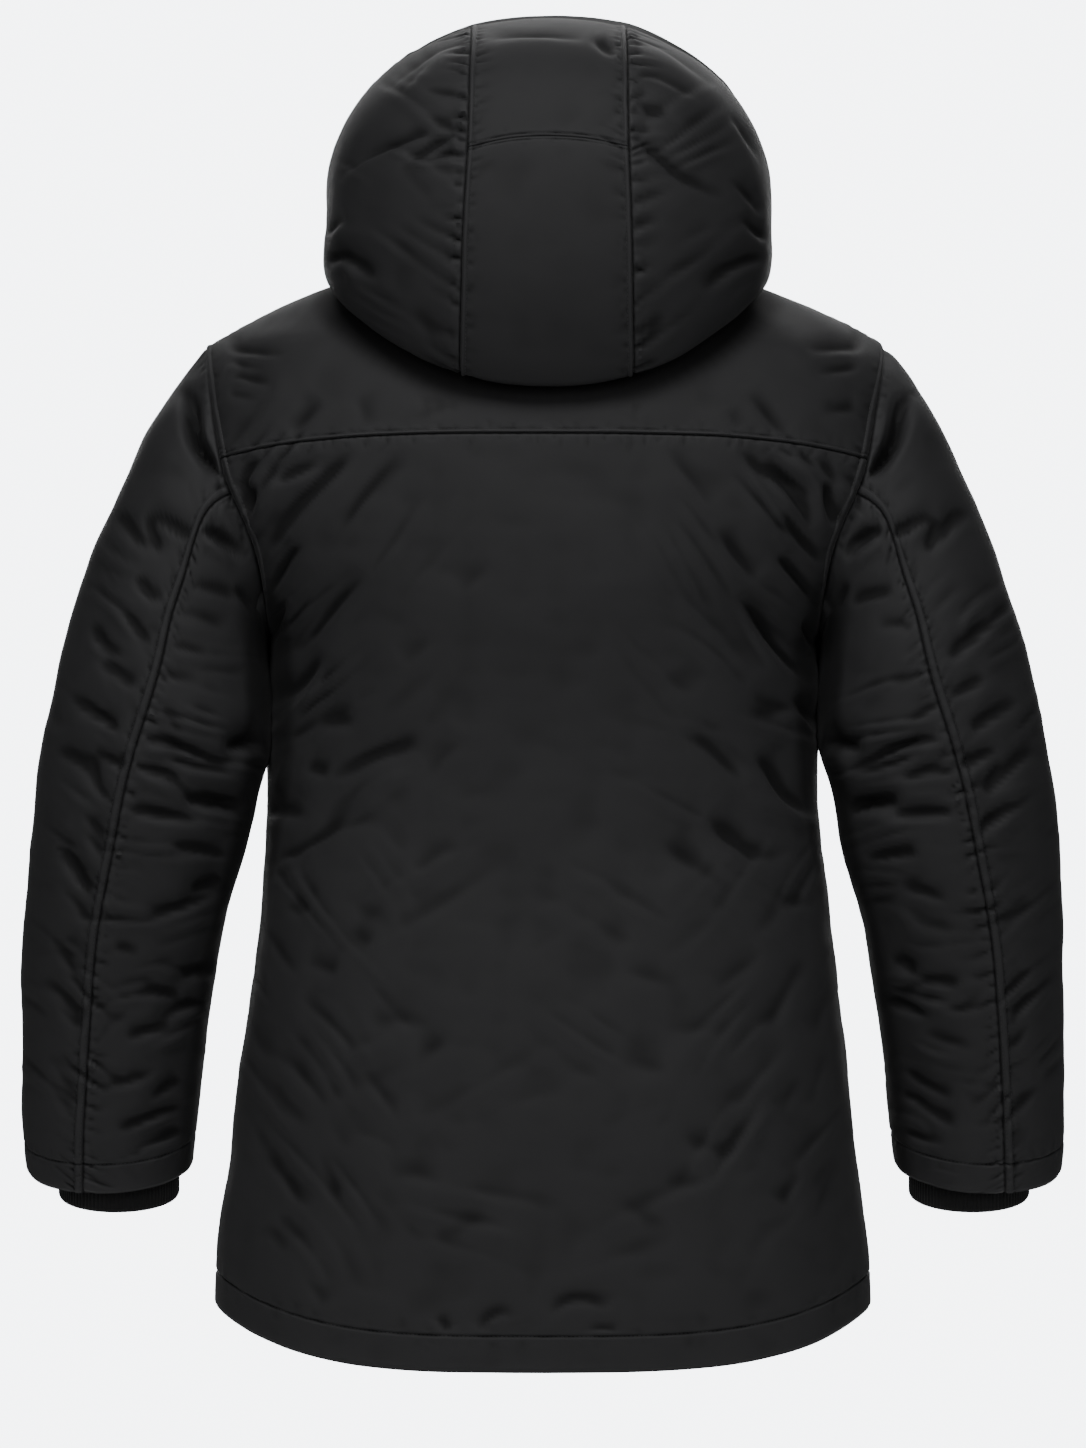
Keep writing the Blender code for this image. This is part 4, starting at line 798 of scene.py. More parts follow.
# %% Fold the back and the yoke
BACK_FOLDS = folds(
    ((224, -180), (225, -192), (228, -204), 3.0, 4.6, .5),
    ((219, -161), (227, -172), (231, -185), (233, -206), 3.8, 3.0, .4),
    ((145, -155), (171, -181), (197, -209), (220, -241), 4.8, 3.4, .45),
    ((168, -160), (188, -172), (212, -181), 4.6, 2.3, .6),
    ((102, -153), (117, -172), (134, -192), (157, -215), 7.2, 0.8, .4),
    ((189, -226), (200, -243), (214, -270), 4.4, 3.0, .4),
    ((137, -249), (163, -278), (182, -300), (203, -313), 6.5, 2.3, .4),
    ((197, -271), (204, -283), (213, -304), 4.0, 3.0, .4),
    ((168, -310), (182, -329), (197, -343), (210, -356), 5.0, 3.4, .5),
    ((167, -313), (181, -345), (195, -363), (209, -378), 2.2, -1.4, .4),
    ((88, -294), (100, -312), (113, -321), 10.2, 0.7, .5),
    ((177, -363), (163, -364), (145, -362), 9.0, 1.5, .5),
    ((91, -380), (123, -389), (154, -403), (175, -406), 8.0, 2.1, .5),
    ((65, -374), (77, -389), (92, -403), 9.4, 0.7, .5),
    ((186, -399), (177, -401), (167, -405), 6.5, 1.5, .5),
    ((215, -433), (197, -434), (180, -436), 7.2, 2.7, .2),
    ((198, -391), (202, -410), (208, -421), 2.2, -1.4, .5),
    ((130, -434), (157, -446), (178, -458), (198, -466), 5.8, 1.5, .5),
    ((209, -466), (194, -467), (181, -466), 6.0, 1.3, .5),
    ((209, -469), (200, -483), (190, -495), 6.7, 0.8, .4),
    ((248, -74), (225, -77), (195, -82), 6.0, 1.7, .3),
    ((246, -84), (230, -88), (210, -90), 5.0, 1.2, .3),
    ((243, -95), (228, -99), (206, -105), 6.0, 1.8, .3),
    ((244, -112), (232, -113), (218, -115), 5.0, 1.0, .2),
    ((171, -115), (185, -132), (197, -144), 6.5, 1.1, .5),
    ((144, -112), (137, -127), (134, -139), 7.2, 0.5, .5),
    ((91, -111), (90, -125), (91, -139), 5.4, 0.4, .4),
    ((81, -112), (80, -124), (81, -134), 4.8, 0.4, .4),
    ((70, -113), (69, -122), (70, -130), 4.8, 0.3, .4),
    ((40, -241), (57, -255), (69, -266), 10.2, 0.5, .5),
    ((-217, -180), (-219, -198), (-223, -215), 3.0, 4.6, .5),
    ((-208, -296), (-208, -345), (-207, -398), 13, -1.0, .5),
    ((-211, -161), (-221, -174), (-228, -185), 4.0, 1.8, .5),
    ((-150, -155), (-176, -176), (-199, -198), (-211, -215), 4.8, 3.0, .5),
    ((-167, -166), (-190, -181), (-211, -194), 4.4, 2.2, .5),
    ((-179, -152), (-196, -162), (-211, -170), 4.0, 1.5, .5),
    ((-181, -206), (-199, -226), (-216, -245), 4.4, 3.0, .5),
    ((-181, -237), (-196, -255), (-213, -276), 4.8, 3.4, .4),
    ((-199, -283), (-204, -297), (-212, -310), 4.0, 3.4, .6),
    ((-150, -266), (-170, -292), (-190, -317), (-209, -337), 5.4, 4.0, .5),
    ((-148, -272), (-166, -306), (-186, -333), 2.2, -1.4, .5),
    ((-135, -214), (-150, -238), (-168, -255), 6.0, 1.9, .5),
    ((-193, -343), (-200, -357), (-211, -373), 4.6, 3.0, .5),
    ((-193, -352), (-199, -364), (-209, -376), 2.0, -1.2, .5),
    ((-102, -254), (-122, -278), (-142, -299), (-168, -329), 10.2, 0.9, .5),
    ((-95, -152), (-113, -175), (-134, -196), 8.7, 0.8, .5),
    ((-95, -325), (-107, -337), (-122, -343), 10.2, 0.5, .5),
    ((-164, -388), (-176, -406), (-189, -424), (-211, -435), 6.0, 3.0, .4),
    ((-163, -391), (-178, -423), (-195, -441), (-211, -447), 2.6, -1.0, .6),
    ((-157, -353), (-176, -357), (-194, -352), 7.0, 1.4, .5),
    ((-113, -369), (-133, -389), (-159, -412), 7.0, 1.6, .5),
    ((-127, -434), (-147, -454), (-171, -466), 8.4, 1.4, .5),
    ((-93, -454), (-107, -468), (-122, -480), 9.4, 0.7, .5),
    ((-158, -109), (-175, -131), (-188, -144), 5.0, 1.1, .5),
    ((-142, -123), (-147, -132), (-151, -139), 5.4, 0.4, .5),
    ((-196, -78), (-225, -76), (-248, -76), 6.0, 1.7, .7),
    ((-205, -96), (-226, -93), (-244, -90), 6.0, 1.5, .7),
    ((-212, -124), (-228, -124), (-242, -122), 5.0, 1.1, .7),
    ((-69, -114), (-70, -125), (-69, -137), 4.8, 0.4, .4),
    ((-58, -114), (-59, -124), (-58, -132), 4.8, 0.3, .4),
    ((199, -504), (190, -508), (181, -513), 7.2, 1.1, .5),
    ((221, -514), (205, -539), (186, -563), 5.8, 1.0, .5),
    ((193, -570), (171, -589), (155, -605), (140, -622), 6.1, 1.3, .7),
    ((187, -548), (174, -551), (158, -557), 8.0, 0.8, .7),
    ((202, -611), (186, -636), (164, -662), 7.0, 1.0, .6),
    ((218, -627), (199, -658), (179, -679), 7.0, 0.9, .6),
    ((174, -692), (164, -715), (154, -733), 7.0, 0.9, .6),
    ((218, -695), (199, -718), (186, -741), 7.0, 1.1, .6),
    ((231, -652), (218, -686), (201, -712), 8.0, 0.7, .5),
    ((228, -583), (218, -614), (205, -634), 8.0, 0.7, .5),
    ((146, -496), (136, -510), (115, -511), 11.6, 0.7, .5),
    ((149, -519), (141, -529), (131, -537), 8.7, 0.7, .5),
    ((143, -596), (111, -592), (76, -599), 11.6, 0.8, .5),
    ((76, -602), (87, -615), (106, -621), 10.2, 0.8, .4),
    ((140, -629), (123, -652), (104, -669), 8.7, 0.7, .5),
    ((159, -673), (130, -683), (104, -693), 9.4, 0.6, .5),
    ((124, -715), (98, -711), (72, -719), 11.6, 0.8, .5),
    ((44, -739), (61, -752), (87, -759), 11.6, 0.8, .5),
    ((66, -456), (86, -466), (102, -480), 10.2, 0.8, .5),
    ((213, -749), (205, -762), (197, -773), 8.7, 0.5, .5),
    ((186, -783), (177, -800), (166, -814), 7.2, 0.6, .7),
    ((82, -820), (78, -828), (72, -835), 4.0, 1.2, .6),
    ((48, -836), (44, -825), (31, -819), (22, -825), 4.0, 1.2, .4),
    ((-93, -460), (-112, -468), (-131, -482), (-151, -499), 11.6, 1.0, .5),
    ((-124, -441), (-144, -454), (-169, -467), (-195, -458), 9.6, 1.6, .5),
    ((-181, -505), (-196, -503), (-212, -504), 8.0, 0.9, .5),
    ((-201, -478), (-188, -498), (-170, -520), (-152, -545), 8.0, 0.7, .4),
    ((-176, -532), (-156, -551), (-127, -574), 8.7, 0.9, .6),
    ((-201, -541), (-188, -570), (-170, -604), 7.0, 1.1, .6),
    ((-188, -610), (-163, -639), (-136, -673), 7.0, 1.1, .6),
    ((-198, -632), (-188, -652), (-176, -668), 7.0, 0.8, .6),
    ((-217, -614), (-209, -642), (-203, -665), 8.0, 0.7, .5),
    ((-201, -708), (-190, -723), (-181, -739), 6.4, 1.1, .6),
    ((-214, -670), (-200, -696), (-184, -715), 8.0, 0.8, .5),
    ((-226, -695), (-216, -727), (-203, -753), 8.0, 0.7, .5),
    ((-220, -544), (-214, -583), (-200, -615), 8.0, 0.7, .5),
    ((-61, -551), (-87, -561), (-110, -565), 11.6, 0.7, .5),
    ((-90, -598), (-119, -600), (-148, -598), 11.6, 0.8, .5),
    ((-58, -620), (-78, -627), (-100, -631), 10.9, 0.6, .5),
    ((-102, -676), (-125, -690), (-147, -693), (-164, -683), 11.6, 0.8, .5),
    ((-87, -714), (-106, -718), (-126, -718), 10.9, 0.7, .5),
    ((-55, -727), (-81, -746), (-104, -753), 10.9, 0.7, .5),
    ((-2, -825), (-12, -814), (-27, -809), (-43, -813), (-50, -819), 4.2, 1.4, .5),
    ((-31, -834), (-46, -832), (-60, -835), 3.1, 0.9, .5),
)
press(back, BACK_FOLDS)
print("folds on the back:", len(BACK_FOLDS))

# %% [markdown]
# The hood is full and holds its shape. A soft ridge crosses its top, and each side panel has a few
# long folds that run down to the edges, where the hood is widest.

# %% Fold the hood
HOOD_FOLDS = folds(
    ((54, 163), (82, 155), (107, 138), (128, 116), 5.5, 1.9, .4),
    ((62, 92), (88, 78), (110, 62), 3.8, 2.4, .5),
    ((64, 103), (104, 85), (139, 69), (161, 51), 4.8, 1.9, .5),
    ((68, 77), (82, 71), (97, 69), 3.6, 1.6, .4),
    ((82, 149), (96, 138), (114, 115), 5, 1.2, .5),
    ((170, 10), (162, 18), (152, 22), 4, 2.2, .2),
    ((170, -11), (158, -7), (148, -11), (125, -26), 4.4, 2.6, .2),
    ((156, -11), (149, -21), (149, -35), 3.6, -1.0, .4),
    ((-68, 163), (-94, 155), (-119, 138), (-138, 123), 5.5, 1.6, .4),
    ((-68, 90), (-84, 74), (-103, 57), (-126, 45), (-146, 38), 4.6, 2.1, .3),
    ((-70, 114), (-87, 106), (-103, 102), 4, 1.3, .3),
    ((-70, 138), (-102, 127), (-128, 109), 6, 1.1, .4),
    ((-142, 106), (-155, 88), (-167, 67), 3.2, 1.3, .5),
    ((-151, 25), (-162, 14), (-173, 6), 3.8, 2, .7),
    ((-144, 53), (-158, 39), (-169, 24), 4, 1.6, .5),
    ((-172, -7), (-155, -11), (-137, -21), (-119, -36), 4.6, 2.3, .3),
    ((50, 161), (26, 165), (-3, 165), (-37, 161), 3.8, 1.7, .5),
    ((-39, 163), (-47, 154), (-56, 148), 3.8, 1.9, .4),
    ((104, -42), (88, -64), (82, -81), 8, .9, .5),
    ((-94, -42), (-84, -64), (-77, -81), 8, .9, .5),
)
press(hood, HOOD_FOLDS)
print("folds on the hood:", len(HOOD_FOLDS))

# %% [markdown]
# The front of the coat, the front halves of the sleeves and the front of the hood get the same
# kinds of folds, mirrored, a little lower and shallower, so no side of the coat is left bare.

# %% Fold the front halves
def moved(folds, up):
    """The mirror image of some folds, moved up by some millimetres."""
    return [fold._replace(path=[(-u, w + up) for u, w in fold.path]) for fold in folds]


for form, folds, up, strength in (
        (front_left, BACK_FOLDS, -14, 0.6), (front_right, BACK_FOLDS, -9, 0.6),
        (sleeve_left, SLEEVE_RIGHT_FOLDS, -10, 0.75), (sleeve_right, SLEEVE_LEFT_FOLDS, -8, 0.75),
        (hood, HOOD_FOLDS, -6, 0.7)):
    press(form, moved(folds, up), side=-1, strength=strength)
print("folds repeated on the hidden halves")

# %% [markdown]
# Padded cloth is never quite smooth between its folds. A sum of slow waves in many directions
# gives soft, uneven swells. Its directions come from a seeded list, so they are the same each time.
# Finer creases fan out from the armholes, the elbows, the side seams and the seams of the hood,
# where the cloth is drawn tight. They are rows of waves in one direction, which the swells bend,
# part and join.

# %% Finer creases and soft swells
SWELL_WAVES = 14
SLOPE_SHARE, WANDER = 0.42, 2.6
HIDDEN_SHARE = 0.8


def swells(points, size, seed):
    """A smooth, uneven value of about -1 to 1 at each point, with swells of the given size."""
    random = np.random.default_rng(seed)
    total = np.zeros(points.shape[:-1])
    for _ in range(SWELL_WAVES):
        direction = unit(random.normal(size=points.shape[-1]))
        wave = 2 * math.pi / (size * random.uniform(0.7, 1.6))
        total += np.sin(points @ (direction * wave) + random.uniform(0, 2 * math.pi))
    return total / math.sqrt(SWELL_WAVES)


def drawn(form, centre, reach, towards, size, height, seed, side=1):
    """Creases drawn in one direction, strongest at a centre. Each falls away slowly above and
    rises sharply below, as cloth does where it hangs over itself. Places are as folds have them."""
    seen = form.seen(side)
    facing = smooth_step(side * form.normals[..., 1], -0.05, 0.35)
    from_centre = seen - centre
    window = np.exp(-np.sum((from_centre / reach) ** 2, axis=-1)) * facing
    along = unit(np.array(towards, float))
    across = np.array([-along[1], along[0]]) * (1 if along[0] > 0 else -1)
    places = np.stack([from_centre @ across / size[0], from_centre @ along / size[1]], axis=-1)
    strong = smooth_step(swells(places * (0.7, 1.0), 1.7, seed + 500), -0.2, 1.1)
    turn = 2 * math.pi * places[..., 0] + WANDER * swells(places * (0.45, 0.6), 1.6, seed)
    line = np.sin(turn) - SLOPE_SHARE * np.sin(2 * turn)
    form.height += height * MM * window * strong * line


DRAWN = {
    back: [((190, -205), (72, 65), (1, -1.45), (17, 75), 2.3),
           ((180, -310), (75, 70), (1, -0.95), (21, 85), 2.2),
           ((180, -410), (75, 55), (1, -0.45), (20, 80), 1.8),
           ((195, -560), (65, 110), (-0.8, -1), (19, 75), 1.5),
           ((180, -700), (70, 80), (-0.7, -1), (20, 80), 1.3),
           ((75, -560), (75, 120), (1, -0.55), (30, 110), 0.7),
           ((70, -730), (75, 60), (-1, -0.35), (30, 110), 0.6)],
    sleeve_left: [((345, -300), (36, 110), (-1, -0.75), (15, 42), 2.2),
                  ((365, -440), (34, 80), (-1, -0.9), (15, 42), 2.0),
                  ((268, -400), (50, 70), (-1, -0.22), (13, 50), 2.4),
                  ((300, -500), (60, 70), (-1, -0.1), (15, 50), 2.0),
                  ((285, -600), (45, 90), (-1, 0.3), (14, 45), 2.2),
                  ((365, -600), (40, 100), (-1, -0.9), (15, 42), 1.8)],
    hood: [((110, 80), (48, 60), (-1, -0.6), (17, 60), 1.6),
           ((120, -20), (40, 50), (-1, -0.8), (17, 50), 1.5)],
}
PAIRS = {back: (back, front_left, front_right), hood: (hood, hood, hood),
         sleeve_left: (sleeve_right, sleeve_left, sleeve_right)}
for form, patches in DRAWN.items():
    twin, hidden_left, hidden_right = PAIRS[form]
    for seed, ((u, w), reach, (du, dw), size, height) in enumerate(patches, 200):
        drawn(form, (u, w), reach, (du, dw), size, height, seed)
        drawn(twin, (-u, w), reach, (-du, dw), size, height, seed + 20)
        drawn(hidden_left, (u, w), reach, (du, dw), size, HIDDEN_SHARE * height, seed + 40, side=-1)
        drawn(hidden_right, (-u, w), reach, (-du, dw), size, HIDDEN_SHARE * height, seed + 60, side=-1)

SWELLS = [(0.150, 1.3, 3), (0.060, 0.55, 4), (0.026, 0.16, 5)]
for form in FORMS:
    calm = 0.6 if form is hood else 1.0
    for size, height, seed in SWELLS:
        form.height += calm * height * MM * swells(form.points, size, seed)
print("swells of", [size for size, _, _ in SWELLS], "metres added")

# %% [markdown]
# A seam knows how far every point is from it, with a sign for the side, and how far along it the
# point lies. From these two numbers come the groove where two panels meet, the raised band of a
# topstitched seam allowance, the dent under each row of stitches and the small puckers that the
# thread draws into the cloth. The puckers are uneven in place, length and depth, from a seeded
# list, as they are where a machine eases padded cloth.

# %% Seams
Seam = namedtuple("Seam", "form away along kind rows columns")
GROOVE_SCALE, BAND_SCALE, STITCH_SCALE, PUCKER_SCALE = 1.3, 1.5, 2.2, 1.5
SEAM_WEAR_REACH, STITCH_REACH = 0.006, 0.9


def seam_up(form, column, rows=slice(None)):
    """A seam that runs up a column. Points on the columns after it have positive distances."""
    across = form.across - form.across[:, column][:, None]
    if form.closed:
        girth = form.girth[:, None]
        across = (across + girth / 2) % girth - girth / 2
    away = np.full(across.shape, FAR)
    away[rows] = across[rows]
    run = np.broadcast_to(form.up[:, column][:, None], away.shape)
    return Seam(form, away, run, "up", rows, None)


def seam_round(form, row, columns=slice(None)):
    """A seam that runs along a row. Points on the rows above it have positive distances."""
    away = np.full(form.up.shape, FAR)
    away[:, columns] = (form.up - form.up[row])[:, columns]
    run = np.broadcast_to(form.across[row][None, :], away.shape)
    return Seam(form, away, run, "round", None, columns)


def groove(seam, depth, width):
    seam.form.height -= GROOVE_SCALE * depth * MM * np.exp(-(seam.away / (width * MM)) ** 2)
    seam.form.wear = np.maximum(seam.form.wear, np.exp(-(seam.away / SEAM_WEAR_REACH) ** 2))


def raised_band(seam, side, width, lift=0.7):
    """The seam allowance folded under the cloth on one side, which lifts it a little."""
    away = seam.away * side / MM
    band = smooth_step(away, 0, 1.2) * (1 - smooth_step(away, width - 0.4, width + 1.6))
    seam.form.height += BAND_SCALE * lift * MM * band


STITCH_ROWS = []


def stitched(seam, side, offset, depth=0.45):
    """The dent that a row of stitches draws in, a little uneven along the row."""
    STITCH_ROWS.append((seam, side, offset))
    away = seam.away * side / MM - offset
    uneven = 1 + 0.35 * np.sin(seam.along / 0.0047) * np.sin(seam.along / 0.0131 + 1)
    seam.form.height -= STITCH_SCALE * depth * MM * uneven * np.exp(-(away / STITCH_REACH) ** 2)


def puckers(seam, side, start, spacing, reach, depth, seed, slant=0.25, width=2.4):
    """Small dents that run away from a seam, in a seeded, uneven row. Sizes in millimetres."""
    random = np.random.default_rng(seed)
    away, run = (seam.away * side).ravel() / MM, seam.along.ravel() / MM
    near = np.nonzero((away > start - 3) & (away < start + 1.3 * reach[1]))[0]
    near = near[np.argsort(run[near], kind="stable")]
    if not len(near):
        return
    away, run = away[near] - start, run[near]
    change = np.zeros(len(near))
    place = run[0] + random.uniform(0, spacing)
    while place < run[-1]:
        length = random.uniform(*reach) * random.choice([0.55, 0.8, 1.0, 1.25], p=[.25, .3, .3, .15])
        tilt = slant + random.normal(0, 0.18)
        wide = width * random.uniform(0.75, 1.35)
        deep = depth * random.uniform(0.45, 1.25)
        margin = 3 * wide + abs(tilt) * length
        part = slice(*np.searchsorted(run, [place - margin, place + margin]))
        r = (run[part] - place - tilt * away[part]) / wide
        fading = smooth_step(away[part], -2.0, 1.5) * (1 - smooth_step(away[part], 0.35 * length, length))
        change[part] -= deep * fading * np.exp(-np.abs(r) ** 1.7) * (1 - 0.8 * r * r)
        place += spacing * random.uniform(0.55, 1.5)
    seam.form.height.ravel()[near] += PUCKER_SCALE * change * MM


print("seam tools ready")

# %% [markdown]
# The hood is sewn first. The centre panel's seam allowances are turned inwards and topstitched
# about 4.5 mm from the seam, so the seam is a dark groove with a raised band beside it. The side
# panels are eased onto the centre panel, and their puckers are the longer ones.

# %% Sew the hood
CENTRE_COLUMNS = len(centre_places) - 1
hood_seam_right, hood_seam_left = hood_middle - CENTRE_COLUMNS, hood_middle + CENTRE_COLUMNS
cross_row, brim_row = (int(np.argmin(np.abs(hood_numbers - ring))) for ring in (CROSS_RING, BRIM_RING))
TOPSTITCH = 4.6

for column, inward, seed in ((hood_seam_right, 1, 11), (hood_seam_left, -1, 21)):
    seam = seam_up(hood, column, slice(0, brim_row + 1))
    groove(seam, 1.5, 1.1)
    raised_band(seam, inward, TOPSTITCH)
    stitched(seam, inward, TOPSTITCH)
    puckers(seam, inward, TOPSTITCH + 0.5, 7.5, (8, 20), 0.75, seed)
    puckers(seam, -inward, 0.8, 7.0, (9, 24), 1.0, seed + 1)
    puckers(seam, -inward, 0.8, 17.0, (24, 55), 1.5, seed + 2, slant=0.35, width=3.6)

cross = seam_round(hood, cross_row, slice(hood_seam_right, hood_seam_left + 1))
groove(cross, 1.1, 0.9)
for side in (1, -1):
    stitched(cross, side, 2.2)
    puckers(cross, side, 2.0, 8.0, (5, 10), 0.3, 33 + side)

brim = seam_round(hood, brim_row)
groove(brim, 1.0, 0.9)
stitched(brim, 1, 2.2)
puckers(brim, -1, 0.6, 8.5, (6, 14), 0.45, 41)
print("hood sewn, centre panel columns:", hood_seam_right, "to", hood_seam_left)

# %% [markdown]
# The sleeves are set in with the seam allowance turned onto the body, under a band with two rows
# of stitches. The sleeve side of the seam is a plain deep groove, with the sleeve eased into it.
# The seam holds both edges where they are, so the folds fade out beside it, most under the arm.
# Below the armpit the padding of the sleeve swells out until it touches the body. Each sleeve's
# two long seams have a wide topstitched band on the upper part.

# %% Sew the armholes and the sleeves
ARMHOLE_BAND, SLEEVE_BAND = 9.6, 7.0
HELD, HELD_MORE, UNDER_ARM = 0.007, 2.5, (0.215, 0.25)
BODY_HOLD, SLEEVE_HOLD = 0.8, 0.97
TOUCH_PLACE, TOUCH_REACH, TOUCH_SWELL = (0.213, 0.015, -0.335), (0.025, 0.040, 0.075), 0.0045


BODY_EDGES = [(back, back_levels, 0, 1), (back, back_levels, -1, -1),
              (front_left, front_levels, 0, 1), (front_right, front_levels, -1, -1)]
for seed, (form, levels, column, side) in enumerate(BODY_EDGES, 50):
    armhole = seam_up(form, column, rows_between(levels, "armpit", "shoulder_point"))
    form.height *= 1 - BODY_HOLD * np.exp(-(armhole.away / HELD) ** 2)
    groove(armhole, 1.4, 1.2)
    from_armpit = armhole.along - armhole.along[row_at(levels, "armpit")]
    ease = smooth_step(from_armpit, 0, 0.03)
    raised_band(armhole, side, ARMHOLE_BAND, 1.0 * ease)
    stitched(armhole, side, ARMHOLE_BAND, 0.55 * ease)
    stitched(armhole, side, 1.8, 0.25 * ease)
    puckers(armhole, side, 0.5, 7.5, (7, 10), 0.35, seed, slant=0.0, width=1.8)
    puckers(armhole, side, ARMHOLE_BAND, 11.0, (8, 20), 0.6, seed + 10)

sleeve_back_column = int(np.argmin(np.abs(sleeve_shares - BACK_SEAM_SHARE)))
sleeve_front_column = int(np.argmin(np.abs(sleeve_shares - FRONT_SEAM_SHARE)))
sleeve_columns = len(sleeve_shares)
sleeve_stitch_row = len(sleeve_levels) - 1 - int(
    np.argmin(np.abs(sleeve_levels - (sleeve_length - SLEEVE_HEM))))


def on_sleeve(side, column):
    """The same column counted on the left sleeve (side 1) or its mirror image (side -1)."""
    return column if side > 0 else sleeve_columns - 1 - column


for sleeve, side, seed in ((sleeve_left, 1, 70), (sleeve_right, -1, 80)):
    touching = (sleeve.points * (side, 1, 1) - TOUCH_PLACE) / TOUCH_REACH
    sleeve.height += TOUCH_SWELL * np.exp(-np.sum(touching**2, axis=-1))
    top = seam_round(sleeve, -1)
    held = HELD * (1 + HELD_MORE * smooth_step(-sleeve.points[..., 2], *UNDER_ARM))
    sleeve.height *= 1 - SLEEVE_HOLD * np.exp(-(top.away / held) ** 2)
    groove(top, 1.4, 1.3)
    puckers(top, -1, 0.8, 8.0, (8, 20), 0.7, seed)
    seams = [(seam_up(sleeve, on_sleeve(side, sleeve_back_column)), side, 1.0),
             (seam_up(sleeve, on_sleeve(side, sleeve_front_column)), -side, 0.6)]
    for number, (seam, upper, strong) in enumerate(seams, 1):
        groove(seam, 1.4, 1.1)
        raised_band(seam, upper, SLEEVE_BAND, 0.8)
        stitched(seam, upper, SLEEVE_BAND, 0.5)
        stitched(seam, upper, 1.6, 0.25)
        puckers(seam, upper, 0.5, 7.0, (7, 9), 0.4 * strong, seed + number, slant=0.1, width=1.8)
        puckers(seam, upper, SLEEVE_BAND, 7.5, (8, 26), 0.9 * strong, seed + 2 + number, slant=0.5)
        puckers(seam, -upper, 0.6, 8.0, (10, 28), 0.9 * strong, seed + 4 + number, slant=-0.3)
    hem = seam_round(sleeve, sleeve_stitch_row)
    stitched(hem, 1, 0.0, 0.7)
    puckers(hem, 1, 0.5, 9.0, (6, 16), 0.6, seed + 7)
    puckers(hem, -1, 0.5, 9.0, (5, 12), 0.5, seed + 8)
    groove(seam_round(sleeve, 0), 1.1, 1.8)
print("sleeves sewn, seam columns:", sleeve_back_column, sleeve_front_column)

# %% [markdown]
# The back has a yoke, stitched close to its lower edge. The side seams and shoulder seams are
# plain. The hem is turned up inside and stitched 27 mm above its edge, where the thread shortens
# the cloth and puckers it. Every free edge is rolled in.

# %% Sew the body
yoke_row = row_at(back_levels, "yoke_seam")
yoke_seam = seam_round(back, yoke_row)
groove(yoke_seam, 1.2, 0.9)
raised_band(yoke_seam, 1, 3.2, 0.6)
stitched(yoke_seam, 1, 3.2, 0.5)
puckers(yoke_seam, -1, 0.6, 9.0, (6, 18), 0.5, 101)
puckers(yoke_seam, 1, 3.0, 10.0, (5, 12), 0.3, 102)

for seed, (form, levels, column, side) in enumerate(BODY_EDGES, 110):
    for low, high in (("hem", "armpit"), ("shoulder_point", "neck")):
        seam = seam_up(form, column, rows_between(levels, low, high))
        groove(seam, 1.0, 1.1)
        puckers(seam, side, 0.6, 11.0, (8, 20), 0.45, seed)

for seed, (form, levels) in enumerate(((back, back_levels), (front_left, front_levels),
                                       (front_right, front_levels)), 120):
    hem = seam_round(form, row_at(levels, "hem_stitch"))
    stitched(hem, 1, 0.0, 0.8)
    puckers(hem, 1, 0.5, 9.0, (6, 20), 0.7, seed)
    puckers(hem, -1, 0.5, 10.0, (6, 16), 0.55, seed + 5)
    groove(seam_round(form, 0), 1.3, 2.0)
    groove(seam_round(form, -1), 1.0, 1.2)

ZIP_EDGES = [(front_left, -1, -1), (front_right, 0, 1), (hood, 0, 1), (hood, -1, -1)]
for form, column, side in ZIP_EDGES:
    edge = seam_up(form, column)
    form.height *= 1 - 0.9 * np.exp(-(edge.away / 0.012) ** 2)
    groove(edge, 2.6, 1.3)
    stitched(edge, side, 6.5, 0.6)
    puckers(edge, side, 7.0, 11.0, (5, 12), 0.3, 140 + column)
groove(seam_round(hood, 0), 1.2, 1.2)
groove(seam_round(hood, -1), 0.9, 1.5)
print("body sewn, yoke seam on row", yoke_row)

# %% [markdown]
# Away from the seams the cloth is padded, so its folds have no edge sharper than a few millimetres,
# and the heights are softened a little there. The same softening, done many times, tells a hollow
# from a ridge: a hollow is lower than the cloth around it. The finish reads this, and its colour is
# painted darker in the hollows and lighter on the ridges. Real cloth has one colour there, so the
# darkening is painted shade in a fold and the lightening is painted highlight on a ridge.

# %% Soften the folds and find the hollows
SOFT_TURNS, AROUND_TURNS, HOLLOW_DEPTH = 1, 16, 0.0011


def softened(values, closed, turns):
    """The values averaged with their neighbours, several times over."""
    for _ in range(turns):
        for axis in (0, 1):
            pad = [(1, 1) if axis == 0 else (0, 0), (0, 0) if axis == 0 else (1, 1)]
            wide = np.pad(values, pad, mode="wrap" if closed and axis == 1 else "edge")
            low, high = np.take(wide, range(0, wide.shape[axis] - 2), axis), np.take(
                wide, range(2, wide.shape[axis]), axis)
            values = (low + 2 * values + high) / 4
    return values


for form in FORMS:
    seam_share = np.clip(form.wear * 4, 0, 1)
    form.height += (softened(form.height, form.closed, SOFT_TURNS) - form.height) * (1 - seam_share)
    around = softened(form.height, form.closed, AROUND_TURNS)
    # The hollow mark: above 0 it is painted shade in a fold, below 0 painted highlight on a ridge.
    form.hollow = np.clip((around - form.height) / HOLLOW_DEPTH, -0.5, 1)
print("deepest hollow under the cloth around it:", round(float((around - form.height).max()) * 1000, 1), "mm")

# %% [markdown]
# Where one part of the coat lies on another, under the hood and between the sleeves and the body,
# little light gets in, so the finish is darker there too. A point lifted off one surface lands near
# the other one, and how near it lands says how deep in the crevice the surface is.

# %% Find the crevices
LIFT, IN_CREVICE, DEEP = 0.028, (0.05, 0.75), 0.3


